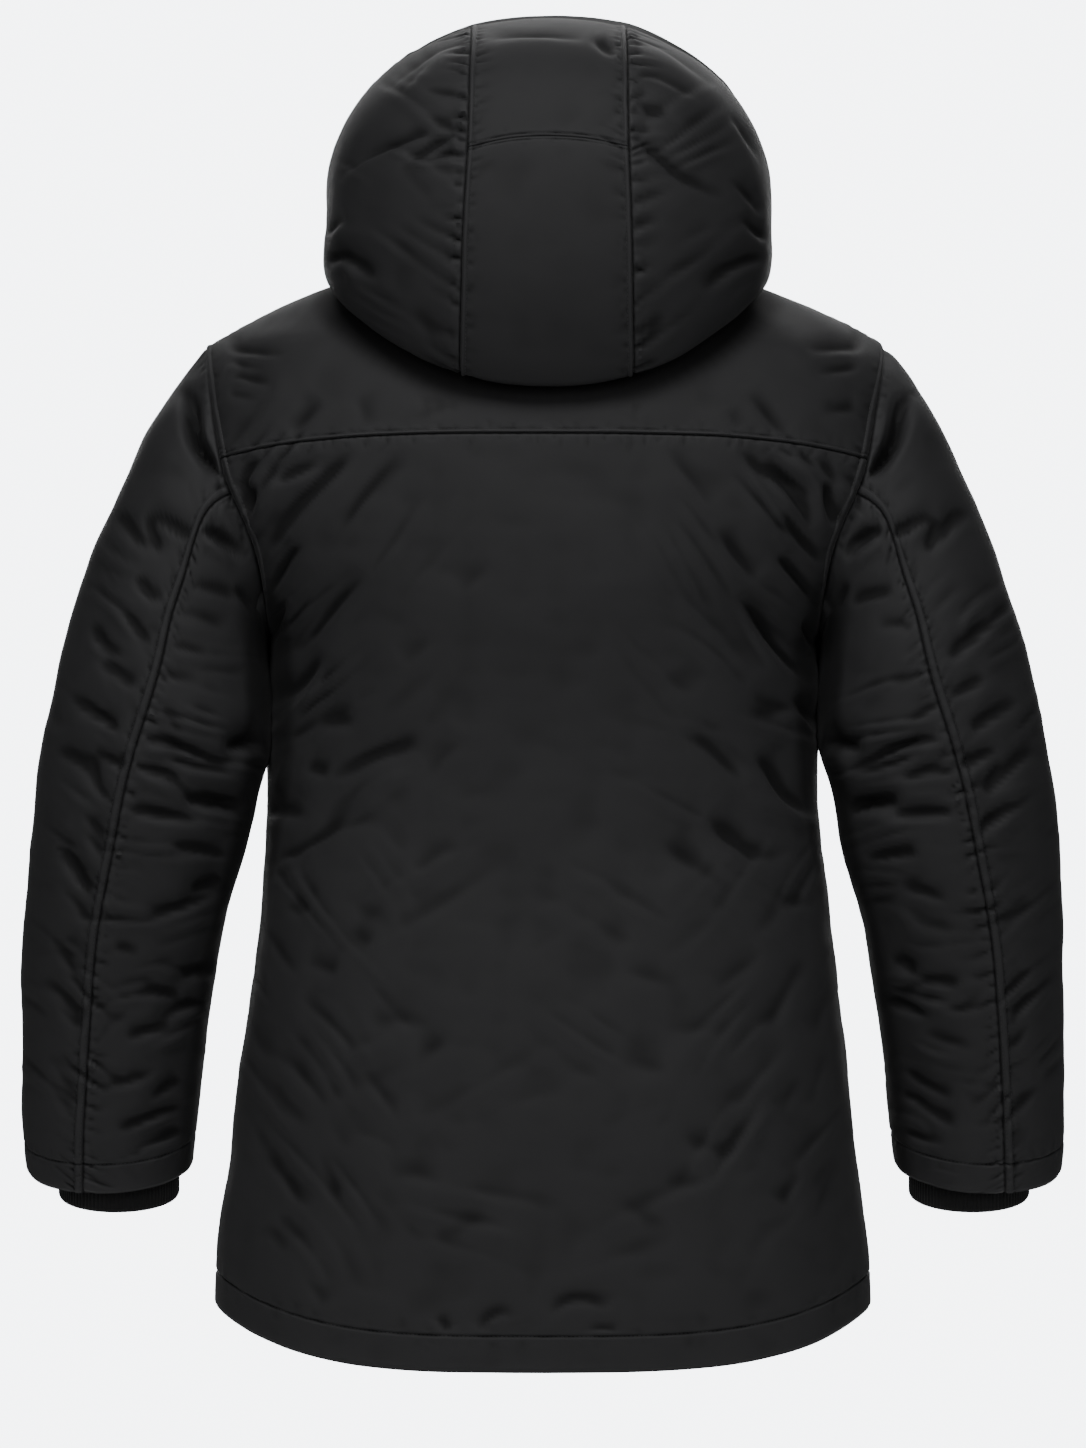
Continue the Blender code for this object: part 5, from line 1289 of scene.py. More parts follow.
def crevice(form, others):
    """1 where another part of the coat lies on this one, falling to 0 in the open."""
    places = np.concatenate([other.points.reshape(-1, 3)[::3] for other in others])
    tree = KDTree(len(places))
    for number, place in enumerate(places):
        tree.insert(place, number)
    tree.balance()
    lifted = (form.points + form.normals * LIFT).reshape(-1, 3)
    away = np.array([tree.find(place)[2] for place in lifted]).reshape(form.height.shape)
    return smooth_step(1 - away / LIFT, *IN_CREVICE)


BODY, SLEEVES = (back, front_left, front_right), (sleeve_left, sleeve_right)
crevices = [(form, crevice(form, SLEEVES + (hood,))) for form in BODY]
crevices += [(sleeve, crevice(sleeve, BODY)) for sleeve in SLEEVES] + [(hood, crevice(hood, BODY))]
for form, deep in crevices:
    # The crevices join the hollow mark as painted shade in the cloth's colour.
    form.hollow = np.maximum(form.hollow, deep)
    print(form.name, "share of its cloth in a crevice:", round(float((deep > DEEP).mean()), 3))

# %% [markdown]
# A material is a set of nodes. Writing sums on sockets as ordinary Python keeps them readable, so a
# small class wraps a socket and its operators add the Math nodes. Every other node comes from one
# method that sets the node's own settings first and then its sockets.

# %% A way to write materials
class Number:
    """A number that a material works out at each point."""

    def __init__(self, paint, socket):
        self.paint, self.socket = paint, socket

    def maths(self, operation, first, second=None):
        inputs = {0: first} if second is None else {0: first, 1: second}
        node = self.paint.add("ShaderNodeMath", {"operation": operation}, inputs)
        return Number(self.paint, node.outputs[0])

    def __add__(self, other):
        return self.maths("ADD", self, other)

    def __sub__(self, other):
        return self.maths("SUBTRACT", self, other)

    def __rsub__(self, other):
        return self.maths("SUBTRACT", other, self)

    def __mul__(self, other):
        return self.maths("MULTIPLY", self, other)

    __radd__, __rmul__ = __add__, __mul__

    def sine(self):
        return self.maths("SINE", self)

    def size(self):
        return self.maths("ABSOLUTE", self)


class Paint:
    """A material, its one shader, and the method that adds any other node."""

    def __init__(self, name):
        self.material = bpy.data.materials.new(name)
        self.material.use_nodes = True
        self.tree = self.material.node_tree
        self.shader = self.tree.nodes["Principled BSDF"]

    def add(self, kind, settings=None, inputs=None):
        node = self.tree.nodes.new(kind)
        for name, value in (settings or {}).items():
            if name == "stops":
                self.set_stops(node.color_ramp, value)
            else:
                setattr(node, name, value)
        for name, value in (inputs or {}).items():
            self.feed(node.inputs[name], value)
        return node

    def feed(self, socket, value):
        if isinstance(value, Number):
            value = value.socket
        if isinstance(value, bpy.types.NodeSocket):
            self.tree.links.new(value, socket)
        else:
            socket.default_value = value

    def set_stops(self, ramp, stops):
        while len(ramp.elements) < len(stops):
            ramp.elements.new(1.0)
        for element, (place, shade) in zip(ramp.elements, stops):
            element.position, element.color = place, (shade, shade, shade, 1.0)

    def number(self, kind, output, settings=None, inputs=None):
        return Number(self, self.add(kind, settings, inputs).outputs[output])

    def shade(self, **inputs):
        for name, value in inputs.items():
            self.feed(self.shader.inputs[name.replace("_", " ")], value)


def blended(paint, share, first, second):
    """A colour between two colours, by a number."""
    mix = paint.add("ShaderNodeMix", {"data_type": "RGBA"})
    paint.feed(mix.inputs["Factor"], share)
    for name, colour in (("A", first), ("B", second)):
        socket = [s for s in mix.inputs if s.name == name and s.type == "RGBA"][0]
        paint.feed(socket, (*colour, 1.0))
    return [s for s in mix.outputs if s.type == "RGBA"][0]


def raised(paint, height, distance):
    """A Bump node's normal for a height of 0 to 1 that stands for a distance in metres."""
    inputs = {"Height": height, "Distance": distance, "Strength": 1.0}
    return paint.add("ShaderNodeBump", None, inputs).outputs["Normal"]


print("materials can be written as sums")

# %% [markdown]
# The shell is a close, matte, black synthetic weave. Its threads are about half a millimetre apart
# and far finer than the folds, so they are a bump and not a mesh. The cloth's own colour is almost
# even: it is a touch greyer where it is rubbed along the seams, and it has a soft sheen from its
# fibres. Its colour is also painted darker in the hollows and crevices, which is painted shade, and
# lighter on the ridges, which is painted highlight. The weave follows the cut of each panel, so its
# pattern uses the panel's own flat measure.

# %% The shell cloth's finish
THREAD_PITCH = 0.00055


def woven(paint, pitch):
    """The over-and-under height of a plain weave, from the panel's flat measure in metres."""
    flat = paint.add("ShaderNodeUVMap", {"uv_map": "cut"}).outputs["UV"]
    split = paint.add("ShaderNodeSeparateXYZ", None, {"Vector": flat})
    wave = 2 * math.pi / pitch
    across, up = Number(paint, split.outputs["X"]), Number(paint, split.outputs["Y"])
    return flat, (across * wave).sine() * (up * wave).sine()


def cloth_noise(paint, flat, scale, detail=2.0, stretch=None):
    vector = flat
    if stretch:
        vector = paint.add("ShaderNodeMapping", None, {"Vector": flat, "Scale": stretch}).outputs[0]
    return paint.number("ShaderNodeTexNoise", "Fac", None,
                        {"Vector": vector, "Scale": scale, "Detail": detail, "Roughness": 0.55})


def shell_finish():
    paint = Paint("shell_cloth")
    flat, weave = woven(paint, THREAD_PITCH)
    wear = paint.number("ShaderNodeAttribute", "Fac", {"attribute_name": "wear"})
    cloudy = cloth_noise(paint, flat, 14.0, 3.0)
    grain = cloth_noise(paint, flat, 1500.0, 1.0, (1.0, 0.45, 1.0))
    hollow = paint.number("ShaderNodeAttribute", "Fac", {"attribute_name": "hollow"})
    # The colour mixes random tone, grey wear along the seams, and from the hollow mark painted shade in
    # hollows and crevices and painted highlight on ridges.
    wear_and_painted_light = paint.add("ShaderNodeClamp", None, {"Value": 0.42 + cloudy * 0.12 + wear * 0.1 - hollow * 0.42})
    colour = blended(paint, wear_and_painted_light.outputs[0], (0.0050, 0.0050, 0.0053), (0.0410, 0.0410, 0.0428))
    roughness = 0.63 + cloudy * 0.06 + grain * 0.05 - wear * 0.03 + hollow * 0.1
    normal = raised(paint, weave * 0.35 + grain * 0.8, 0.00006)
    paint.shade(Base_Color=colour, Roughness=roughness, Normal=normal, Sheen_Weight=0.03,
                Sheen_Roughness=0.4, Specular_IOR_Level=0.2)
    return paint.material


shell_cloth = shell_finish()
print("finish:", shell_cloth.name)

# %% [markdown]
# Each panel is cut from its form as a thin closed sheet. The outer face has every point. The inner
# face is seen only down the openings, so it has every third row and column, and each of its points
# lies under the lowest of the outer points around it, so that it never shows through a fold.

# %% Cut the panels
CLOTH_THICKNESS = 0.0022
INNER_STEP = 3


def lowest_around(height, reach, closed):
    result = height.copy()
    for axis in (0, 1):
        source = result.copy()
        for shift in range(1, reach + 1):
            for step in (shift, -shift):
                shifted = np.roll(source, step, axis=axis)
                if not (closed and axis == 1):
                    edge = [slice(None), slice(None)]
                    edge[axis] = slice(0, step) if step > 0 else slice(step, None)
                    shifted[tuple(edge)] = source[tuple(edge)]
                result = np.minimum(result, shifted)
    return result


def every_third(count):
    chosen = list(range(0, count - 1, INNER_STEP))
    if count - 1 - chosen[-1] < 2 and len(chosen) > 1:
        chosen.pop()
    return chosen + [count - 1]


def cloth_panel(name, node, form, rows=slice(None), columns=slice(None),
                thickness=CLOTH_THICKNESS, finish=shell_cloth, slot="shell_cloth"):
    """A thin closed sheet cut from a form, which stands for a measured piece."""
    columns = np.arange(form.points.shape[1])[columns] if isinstance(columns, slice) else columns
    rows = np.arange(form.points.shape[0])[rows]
    cut = np.ix_(rows, columns)
    outer = form.surface()[cut]
    low = lowest_around(form.height, INNER_STEP, form.closed)[cut]
    inner_rows, inner_columns = every_third(len(rows)), every_third(len(columns))
    pick = np.ix_(inner_rows, inner_columns)
    inner = form.points[cut][pick] - form.normals[cut][pick] * (thickness - low[pick])[..., None]
    run = distances(form.points[cut].swapaxes(0, 1)).T
    flat = np.stack([run, np.broadcast_to(form.up[rows][:, columns[:1]], run.shape)], axis=-1)
    faces = sheet_faces(len(rows), len(columns), inner_rows, inner_columns)
    points = np.concatenate([outer.reshape(-1, 3), inner.reshape(-1, 3)])
    places = np.concatenate([flat.reshape(-1, 2), flat[pick].reshape(-1, 2)])
    # The hollow mark carries painted shade and painted highlight into the mesh, beside the wear.
    marks = {kind: np.concatenate([values[cut].ravel(), values[cut][pick].ravel()])
             for kind, values in (("wear", form.wear), ("hollow", form.hollow))}
    built = built_mesh(name, points, faces, places, marks)
    built.data.materials.append(finish)
    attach(built, "parka")
    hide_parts(node)
    print(name, "is", round(run[:, -1].max(), 3), "by", round(np.ptp(flat[..., 1]), 3), "m")
    return built


def sheet_faces(row_count, column_count, inner_rows, inner_columns):
    """Faces of both sides, and of the rim that joins a fine border to a coarse one."""
    start = row_count * column_count
    place = np.arange(start).reshape(row_count, column_count)
    inner = start + np.arange(len(inner_rows) * len(inner_columns)).reshape(len(inner_rows), -1)

    def quads(grid, outward):
        corners = [grid[:-1, :-1], grid[1:, :-1], grid[1:, 1:], grid[:-1, 1:]]
        stacked = np.stack(corners if outward else corners[::-1], axis=-1)
        return stacked.reshape(-1, 4).tolist()

    faces = quads(place, True) + quads(inner, False)
    borders = [
        (place[0], inner[0], inner_columns, True), (place[-1], inner[-1], inner_columns, False),
        (place[:, 0], inner[:, 0], inner_rows, False), (place[:, -1], inner[:, -1], inner_rows, True),
    ]
    for fine, coarse, stops, forward in borders:
        for i in range(len(stops) - 1):
            face = fine[stops[i]:stops[i + 1] + 1].tolist() + [int(coarse[i + 1]), int(coarse[i])]
            faces.append(face if forward else face[::-1])
    return faces


def built_mesh(name, points, faces, places=None, marks=None):
    mesh = bpy.data.meshes.new(name)
    mesh.from_pydata([], [], [])
    mesh.from_pydata(points.tolist(), [], faces)
    mesh.shade_smooth()
    mesh.set_sharp_from_angle(angle=math.radians(60))
    if places is not None:
        corners = np.empty(len(mesh.loops), np.int32)
        mesh.loops.foreach_get("vertex_index", corners)
        layer = mesh.uv_layers.new(name="cut")
        layer.uv.foreach_set("vector", places[corners].astype(np.float32).ravel())
    for kind, values in (marks or {}).items():
        mesh.attributes.new(kind, "FLOAT", "POINT").data.foreach_set("value", values.astype(np.float32))
    built = bpy.data.objects.new(name, mesh)
    bpy.context.scene.collection.objects.link(built)
    return built


cloth_panel("back_panel_cloth", "back_panel", back, rows=slice(0, yoke_row + 1))
cloth_panel("back_yoke_cloth", "back_yoke", back, rows=slice(yoke_row, None))
cloth_panel("front_left_cloth", "front_left", front_left)
cloth_panel("front_right_cloth", "front_right", front_right)
for sleeve, side, name in ((sleeve_left, 1, "left"), (sleeve_right, -1, "right")):
    low, high = sorted(on_sleeve(side, k) for k in (sleeve_back_column, sleeve_front_column))
    upper = np.arange(low, high + 1)
    under = np.arange(high, low + 1 + sleeve_columns) % sleeve_columns
    cloth_panel(f"sleeve_upper_{name}_cloth", f"sleeve_upper_{name}", sleeve, columns=upper)
    cloth_panel(f"sleeve_under_{name}_cloth", f"sleeve_under_{name}", sleeve, columns=under)
centre, below_brim = slice(hood_seam_right, hood_seam_left + 1), slice(0, brim_row + 1)
cloth_panel("hood_centre_back_cloth", "hood_centre_back", hood, slice(0, cross_row + 1), centre)
cloth_panel("hood_centre_top_cloth", "hood_centre_top", hood, slice(cross_row, brim_row + 1), centre)
cloth_panel("hood_side_right_cloth", "hood_side_right", hood, below_brim, slice(0, hood_seam_right + 1))
cloth_panel("hood_side_left_cloth", "hood_side_left", hood, below_brim, slice(hood_seam_left, None))
cloth_panel("hood_brim_cloth", "hood_brim", hood, slice(brim_row, None))

# %% [markdown]
# Each sleeve has a knitted storm cuff, sewn inside the sleeve a little above its hem, and its lower
# edge shows. It is knitted in ribs about 3 mm apart. The ribs belong to the shape, because they make
# the cuff's edge wavy. The loops of the knit are smaller than that, and are a bump.

# %% Knit the cuffs
PADDED_WALL = 0.006
CUFF_LEVELS = (-0.7325, -0.7115, -0.6900)
CUFF_STATION, STATION_SPREAD, CUFF_GAP, CUFF_WALL = 10.0, 0.2, 0.0008, 0.0018
RIBS, COLUMNS_IN_RIB, RIB_HEIGHT = 92, 4, 0.0007
KNIT_LOOP = 0.0013
CUFF_CENTRE, CUFF_HALF_WIDTH, CUFF_HALF_DEPTH, CUFF_TILT = (0.3310, -0.0500), 0.0470, 0.0380, 0.30


def knit_finish():
    paint = Paint("rib_knit_yarn")
    flat, loops = woven(paint, KNIT_LOOP)
    fluff = cloth_noise(paint, flat, 900.0, 2.0)
    cloudy = cloth_noise(paint, flat, 45.0)
    colour = blended(paint, cloudy * 0.6 + fluff * 0.4, (0.0085, 0.0085, 0.009), (0.0135, 0.0135, 0.014))
    normal = raised(paint, loops * 0.6 + fluff * 0.7, 0.00018)
    paint.shade(Base_Color=colour, Roughness=0.82 + fluff * 0.1, Normal=normal, Sheen_Weight=0.10,
                Sheen_Roughness=0.5, Specular_IOR_Level=0.2)
    return paint.material


def cuff_ring(shares, level):
    turn = 2 * math.pi * shares
    x, y = -CUFF_HALF_WIDTH * np.cos(turn), CUFF_HALF_DEPTH * np.sin(turn)
    return np.stack([CUFF_CENTRE[0] + x, CUFF_CENTRE[1] + y, level - CUFF_TILT * y], axis=1)


def cuff_points():
    """The left cuff's tube, from its lower edge up to where it is sewn inside the sleeve."""
    shares = np.arange(RIBS * COLUMNS_IN_RIB) / (RIBS * COLUMNS_IN_RIB)
    keys = sleeve_keys()
    stations = CUFF_STATION + STATION_SPREAD * np.array([-1, 0, 1])
    inside = Form("inside", sleeve_grid(shares, np.interp(stations, range(len(keys)), keys)), True)
    join = inside.points[1] - inside.normals[1] * (PADDED_WALL + CUFF_GAP)
    rings = np.array([cuff_ring(shares, level) for level in CUFF_LEVELS] + [join])
    run = distances(rings).mean(axis=1)
    at = graded(run[-1], 14, True, False)
    return spline(run, rings.reshape(len(rings), -1), at).reshape(len(at), -1, 3)


rib_knit = knit_finish()
left_cuff = cuff_points()
for name, points in (("left", left_cuff), ("right", mirrored(left_cuff))):
    cuff = Form(f"cuff_{name}", points, closed=True)
    turn = np.arange(points.shape[1]) * math.pi / COLUMNS_IN_RIB
    cuff.height += RIB_HEIGHT * (np.abs(np.sin(turn)) ** 0.7 - 1)
    groove(seam_round(cuff, 0), 0.7, 1.2)
    cloth_panel(f"rib_cuff_{name}_knit", f"rib_cuff_{name}", cuff, thickness=CUFF_WALL,
                columns=np.arange(points.shape[1] + 1) % points.shape[1],
                finish=rib_knit, slot="rib_knit")

# %% [markdown]
# The zip runs up the front edges from the hem to the chin. A woven tape lies behind each edge, with a
# cord along its inner border that the teeth are moulded round. Both tapes lie in the gap between the
# edges and go a little way under the cloth, where they are sewn.

# %% Weave the zip's tapes
TAPE_SPLIT, TAPE_UNDER, TAPE_THICK, TAPE_DEPTH = 0.0004, 0.012, 0.0008, 0.0066
ZIP_BOTTOM_CLEAR, ZIP_TOP_CLEAR, ZIP_STEP = 0.008, 0.006, 0.0025
SLIDER_LEVEL = -0.030
PARTED = 0.0009
TAPE_CORD = 0.0003

edge_line = np.concatenate([front_left.points[:, -1], hood.points[1:, -1]])
edge_beside = np.concatenate([front_left.points[:, -6], hood.points[1:, -6]])
edge_normals = np.concatenate([front_left.normals[:, -1], hood.normals[1:, -1]])
edge_run = distances(edge_line)
zip_run = np.arange(edge_run[0] + ZIP_BOTTOM_CLEAR, edge_run[-1] - ZIP_TOP_CLEAR, ZIP_STEP)
zip_edge = between(edge_run, edge_line, zip_run)
zip_into = unit(between(edge_run, edge_beside - edge_line, zip_run))
zip_outward = unit(between(edge_run, edge_normals, zip_run))
zip_middle = zip_edge * (0, 1, 1)
zip_forward = unit(zip_outward * (0, 1, 1))
zip_parted = PARTED * smooth_step(zip_middle[:, 2], SLIDER_LEVEL, zip_middle[-1, 2])


def tape_finish():
    paint = Paint("zip_tape_weave")
    flat, weave = woven(paint, 0.0009)
    slub = cloth_noise(paint, flat, 700.0, 1.0, (1.0, 0.25, 1.0))
    colour = blended(paint, slub, (0.011, 0.011, 0.0115), (0.019, 0.019, 0.0195))
    paint.shade(Base_Color=colour, Roughness=0.66 + slub * 0.15, Sheen_Weight=0.05,
                Normal=raised(paint, weave * 0.7 + slub * 0.5, 0.00012), Specular_IOR_Level=0.25)
    return paint.material


def tape_points():
    """The left tape: across the gap from the middle to the cloth's edge, then under the cloth."""
    inner = zip_middle + np.outer(TAPE_SPLIT + zip_parted, (1, 0, 0))
    outer = zip_edge + zip_into * TAPE_UNDER
    over_gap = [inner + (zip_edge - inner) * share for share in (0, .04, .08, .12, .16, .2, .3, .5, .7, 1)]
    under = [zip_edge + (outer - zip_edge) * share for share in (.25, .5, .75, 1)]
    facing = [zip_forward] * len(over_gap) + [zip_outward] * len(under)
    return (np.stack(over_gap + under, axis=1) - np.stack(facing, axis=1) * TAPE_DEPTH)[:, ::-1]


zip_tape_weave = tape_finish()
left_tape = tape_points()
for name, points, cord in (("left", left_tape, -3), ("right", mirrored(left_tape), 2)):
    tape = Form(f"tape_{name}", points)
    away = np.abs(tape.across - tape.across[:, cord][:, None])
    tape.height += TAPE_CORD * np.exp(-(away / 0.0006) ** 2)
    cloth_panel(f"zip_tape_{name}_weave", f"zip_tape_{name}", tape, thickness=TAPE_THICK,
                finish=zip_tape_weave, slot="zip_tape")

# %% [markdown]
# The zip's hard pieces are small mouldings. Each is a stack of flat outlines, and the first and the
# last outline are a little smaller, which makes a bevelled edge that catches the light. A tooth is
# such a moulding too, and one function sets copies of it along the tapes.

# %% Helpers for small mouldings
def shrunk(outline, inset):
    """A closed outline moved inwards by the same distance at every edge."""
    outline = np.asarray(outline, float)
    ahead = unit(np.roll(outline, -1, axis=0) - outline)
    inward = np.stack([-ahead[:, 1], ahead[:, 0]], axis=1)
    before = np.roll(inward, 1, axis=0)
    return outline + inset * (inward + before) / (1 + np.sum(inward * before, axis=1))[:, None]


def stack(outline, levels):
    """The points of a moulding, from (height, inset) pairs that go upwards, and its faces."""
    loops = [np.column_stack([shrunk(outline, inset), np.full(len(outline), height)])
             for height, inset in levels]
    return np.concatenate(loops), tube_faces(len(outline), len(levels))


def tube_faces(corners, loops):
    faces = [list(range(corners))[::-1]]
    for first in range(0, (loops - 1) * corners, corners):
        for j in range(corners):
            a, b = first + j, first + (j + 1) % corners
            faces.append([a, b, b + corners, a + corners])
    return faces + [list(range((loops - 1) * corners, loops * corners))]


def copies(shape, faces, centres, *axes):
    """Points and faces of a small shape, set at each centre along that centre's three axes."""
    points = centres[:, None] + sum(shape[None, :, k:k + 1] * axis[:, None] * MM
                                    for k, axis in enumerate(axes))
    starts = (np.arange(len(centres)) * len(shape)).tolist()
    set_faces = [[corner + start for corner in face] for start in starts for face in faces]
    return points.reshape(-1, 3), set_faces


def joined(parts):
    points, faces, start = [], [], 0
    for part_points, part_faces in parts:
        points.append(part_points)
        faces += [[corner + start for corner in face] for face in part_faces]
        start += len(part_points)
    return np.concatenate(points), faces


def hard_piece(name, parts, finish, body, node):
    built = built_mesh(name, *joined(parts))
    built.data.set_sharp_from_angle(angle=math.radians(35))
    built.data.materials.append(finish)
    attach(built, body)
    if node:
        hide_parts(node)
    print(name, "faces:", len(built.data.polygons))
    return built


def metal_finish():
    """Blackened metal: dark and smooth, a little cloudy, with fine scratches."""
    paint = Paint("zip_black_metal")
    place = paint.add("ShaderNodeTexCoord").outputs["Object"]
    cloudy = paint.number("ShaderNodeTexNoise", "Fac", None,
                          {"Vector": place, "Scale": 420.0, "Detail": 3.0})
    stretched = paint.add("ShaderNodeMapping", None, {"Vector": place, "Scale": (1.0, 1.0, 0.08)})
    scratches = paint.number("ShaderNodeTexNoise", "Fac", None,
                             {"Vector": stretched.outputs[0], "Scale": 5200.0, "Detail": 1.0})
    colour = blended(paint, cloudy, (0.045, 0.045, 0.047), (0.085, 0.085, 0.088))
    paint.shade(Base_Color=colour, Metallic=0.9, Roughness=0.30 + cloudy * 0.16 + scratches * 0.06,
                Normal=raised(paint, cloudy * 0.5 + scratches * 0.5, 0.00002))
    return paint.material


zip_black_metal = metal_finish()
print("finish:", zip_black_metal.name)

# %% [markdown]
# Each tooth grips its tape's cord and reaches past the middle, between two teeth of the other side.
# Teeth of one side are 2.5 mm apart. Under the slider they are locked, and above it they part a
# little. A stop ends each side at the top, and a retaining block holds both at the bottom.

# %% Mould the zip's teeth
CHAIN_DEPTH, CHAIN_THICK = 0.0037, 2.6
TOOTH = [(3.0, -.3), (3.0, .3), (2.3, .62), (.5, .38), (-.4, .58), (-.95, .3), (-.95, -.3), (-.4, -.58),
         (.5, -.38), (2.3, -.62)]
TOOTH_LEVELS = [(-1.2, 0), (.95, 0), (1.2, .16)]
STOP = [(3.0, -1.6), (3.0, 1.6), (.2, 1.6), (.2, -1.6)]
BLOCK = [(3.0, -3.2), (3.0, 2.6), (2.4, 3.2), (-2.4, 3.2), (-3.0, 2.6), (-3.0, -3.2)]
STOP_LEVELS = [(-1.3, .3), (-1.0, 0), (1.0, 0), (1.3, .3)]


def zip_places(run):
    """Places in the middle of the chain's thickness, with the ways up, out and apart."""
    middle = between(zip_run, zip_middle, run)
    forward = unit(between(zip_run, zip_forward, run))
    up = unit(np.gradient(middle, axis=0)) if len(run) > 1 else unit(
        between(zip_run, np.gradient(zip_middle, axis=0), run))
    return middle - forward * (CHAIN_DEPTH + CHAIN_THICK / 2 * MM), up, forward, np.interp(
        run, zip_run, zip_parted)


def one_side(shape, run, side):
    """A moulding's copies on the left side (1) or the right side (-1), moved with its tape."""
    middle, up, forward, parted = zip_places(run)
    apart = np.tile((float(side), 0.0, 0.0), (len(run), 1))
    points, faces = copies(*shape, middle + apart * parted[:, None], apart, up, forward)
    return points, faces if side > 0 else [face[::-1] for face in faces]


tooth, stop, block = (stack(outline, levels) for outline, levels in (
    (TOOTH, TOOTH_LEVELS), (STOP, STOP_LEVELS), (BLOCK, STOP_LEVELS)))
left_teeth = np.arange(zip_run[0] + 0.0085, zip_run[-1] - 0.005, ZIP_STEP)
parts = [one_side(tooth, left_teeth, 1), one_side(tooth, left_teeth[:-1] + ZIP_STEP / 2, -1),
         one_side(stop, zip_run[-1:] - 0.003, 1), one_side(stop, zip_run[-1:] - 0.003, -1),
         one_side(block, zip_run[:1] + 0.0035, 1)]
hard_piece("zip_teeth", parts, zip_black_metal, "parka", "zip_chain")
print("teeth on each side:", len(left_teeth))

# %% [markdown]
# The slider sits at the collar. It has a plate with wide shoulders and an arch over it, and the pull
# tab's bar turns under the arch. The tab hangs plumb, with a raised grip on both of its faces.

# %% Mould the slider and its pull tab
SLIDER_PLATE = [(-1.5, -6.2), (1.5, -6.2), (2.9, -5.4), (3.2, -1.2), (4.3, 1.9), (4.6, 3.4), (4.4, 5.0),
                (3.3, 6.0), (1.2, 6.2), (-1.2, 6.2), (-3.3, 6.0), (-4.4, 5.0), (-4.6, 3.4), (-4.3, 1.9),
                (-3.2, -1.2), (-2.9, -5.4)]
PLATE_TOP, PLATE_LEVELS = -1.7, [(-1.6, .3), (-1.3, 0), (-.4, 0), (0, .4)]
ARCH_REACH, ARCH_HALF_WIDTH, ARCH_THICK, ARCH_TOP = 3.1, 0.8, 1.0, 1.2
OCTAGON_SIZE = 1.08
PULL_AXIS = np.array([0.0, -0.1274, -0.03152])
PULL = [(-1.4, -28.0), (1.4, -28.0), (2.8, -27.4), (3.4, -26.0), (3.4, .2), (3.1, .6), (2.5, .6),
        (2.2, .2), (2.2, -6.0), (1.5, -6.8), (-1.5, -6.8), (-2.2, -6.0), (-2.2, .2), (-2.5, .6),
        (-3.1, .6), (-3.4, .2), (-3.4, -26.0), (-2.8, -27.4)]
PULL_LEVELS = [(-.6, .22), (-.38, 0), (.38, 0), (.6, .22)]
GRIP = [(-1.2, -25.8), (1.2, -25.8), (2.1, -24.9), (2.1, -11.0), (1.4, -10.2), (-1.4, -10.2),
        (-2.1, -11.0), (-2.1, -24.9)]
GRIP_LEVELS = [(-.85, .3), (-.65, .1), (.65, .1), (.85, .3)]


def swept(centres, sideways, upwards, width, height):
    """A bar of eight-sided section through some centres, in millimetres."""
    turn = np.arange(8) * math.pi / 4 + math.pi / 8
    section = np.stack([np.cos(turn), np.sin(turn)], axis=1) * OCTAGON_SIZE
    loops = [np.array([c + x * width * a + y * height * b for x, y in section])
             for c, a, b in zip(centres, sideways, upwards)]
    return np.concatenate(loops), tube_faces(8, len(loops))


def arch():
    turn = np.linspace(0, math.pi, 15)
    rise = np.sin(turn) ** 0.55
    foot, top = PLATE_TOP - 0.5, ARCH_TOP - ARCH_THICK / 2
    centres = np.stack([0 * turn, -ARCH_REACH * np.cos(turn), foot + (top - foot) * rise], axis=1)
    ahead = unit(np.gradient(centres, axis=0))
    sideways = np.tile((1.0, 0.0, 0.0), (15, 1))
    return swept(centres, sideways, np.cross(sideways, ahead), ARCH_HALF_WIDTH, ARCH_THICK / 2)


def one_copy(shape, centre, *axes):
    return copies(*shape, np.array([centre]), *(np.array([axis], float) for axis in axes))


level = zip_middle[:, 2]
slider_place = between(level, zip_middle, [SLIDER_LEVEL])[0]
slider_out = unit(between(level, zip_forward, [SLIDER_LEVEL])[0])
sideways = np.array([1.0, 0.0, 0.0])
slider_axes = (sideways, np.cross(slider_out, sideways), slider_out)
plate = stack(SLIDER_PLATE, [(PLATE_TOP + up, inset) for up, inset in PLATE_LEVELS])
hard_piece("zip_slider_body", [one_copy(plate, slider_place, *slider_axes),
                               one_copy(arch(), slider_place, *slider_axes)],
           zip_black_metal, "parka", "zip_slider")

bar_ends = np.array([(-2.8, 0, 0), (2.8, 0, 0)])
bar = swept(bar_ends, np.tile((0.0, 1.0, 0.0), (2, 1)), np.tile((0.0, 0.0, 1.0), (2, 1)), 0.55, 0.55)
pull_axes = (sideways, (0, 0, 1), (0, -1, 0))
pull = [one_copy(stack(outline, levels), PULL_AXIS, *pull_axes)
        for outline, levels in ((PULL, PULL_LEVELS), (GRIP, GRIP_LEVELS))]
pull.append(one_copy(bar, PULL_AXIS, *pull_axes))
hard_piece("zip_pull_tab", pull, zip_black_metal, "zip_pull", "zip_pull")
print("slider at", [round(float(v), 4) for v in slider_place])

# %% [markdown]
# Every row of topstitching is real thread: short stitches about 3 mm long, each rising a little from
# the dent that it draws in and diving back at both ends. They are placed last, on the folded cloth,
# so they follow every pucker.

# %% Sew with thread
STITCH_PITCH = 0.0032
STITCH = np.array([(-1.25, 0, -.28), (-.8, .25, -.04), (-.8, 0, .2), (-.8, -.25, -.04),
                   (.8, .25, -.04), (.8, 0, .2), (.8, -.25, -.04), (1.25, 0, -.28)])
STITCH_FACES = [[1, 2, 5, 4], [3, 6, 5, 2], [1, 4, 6, 3], [0, 2, 1], [0, 3, 2], [0, 1, 3],
                [7, 4, 5], [7, 5, 6], [7, 6, 4]]
THREAD_LIFT = 0.0001


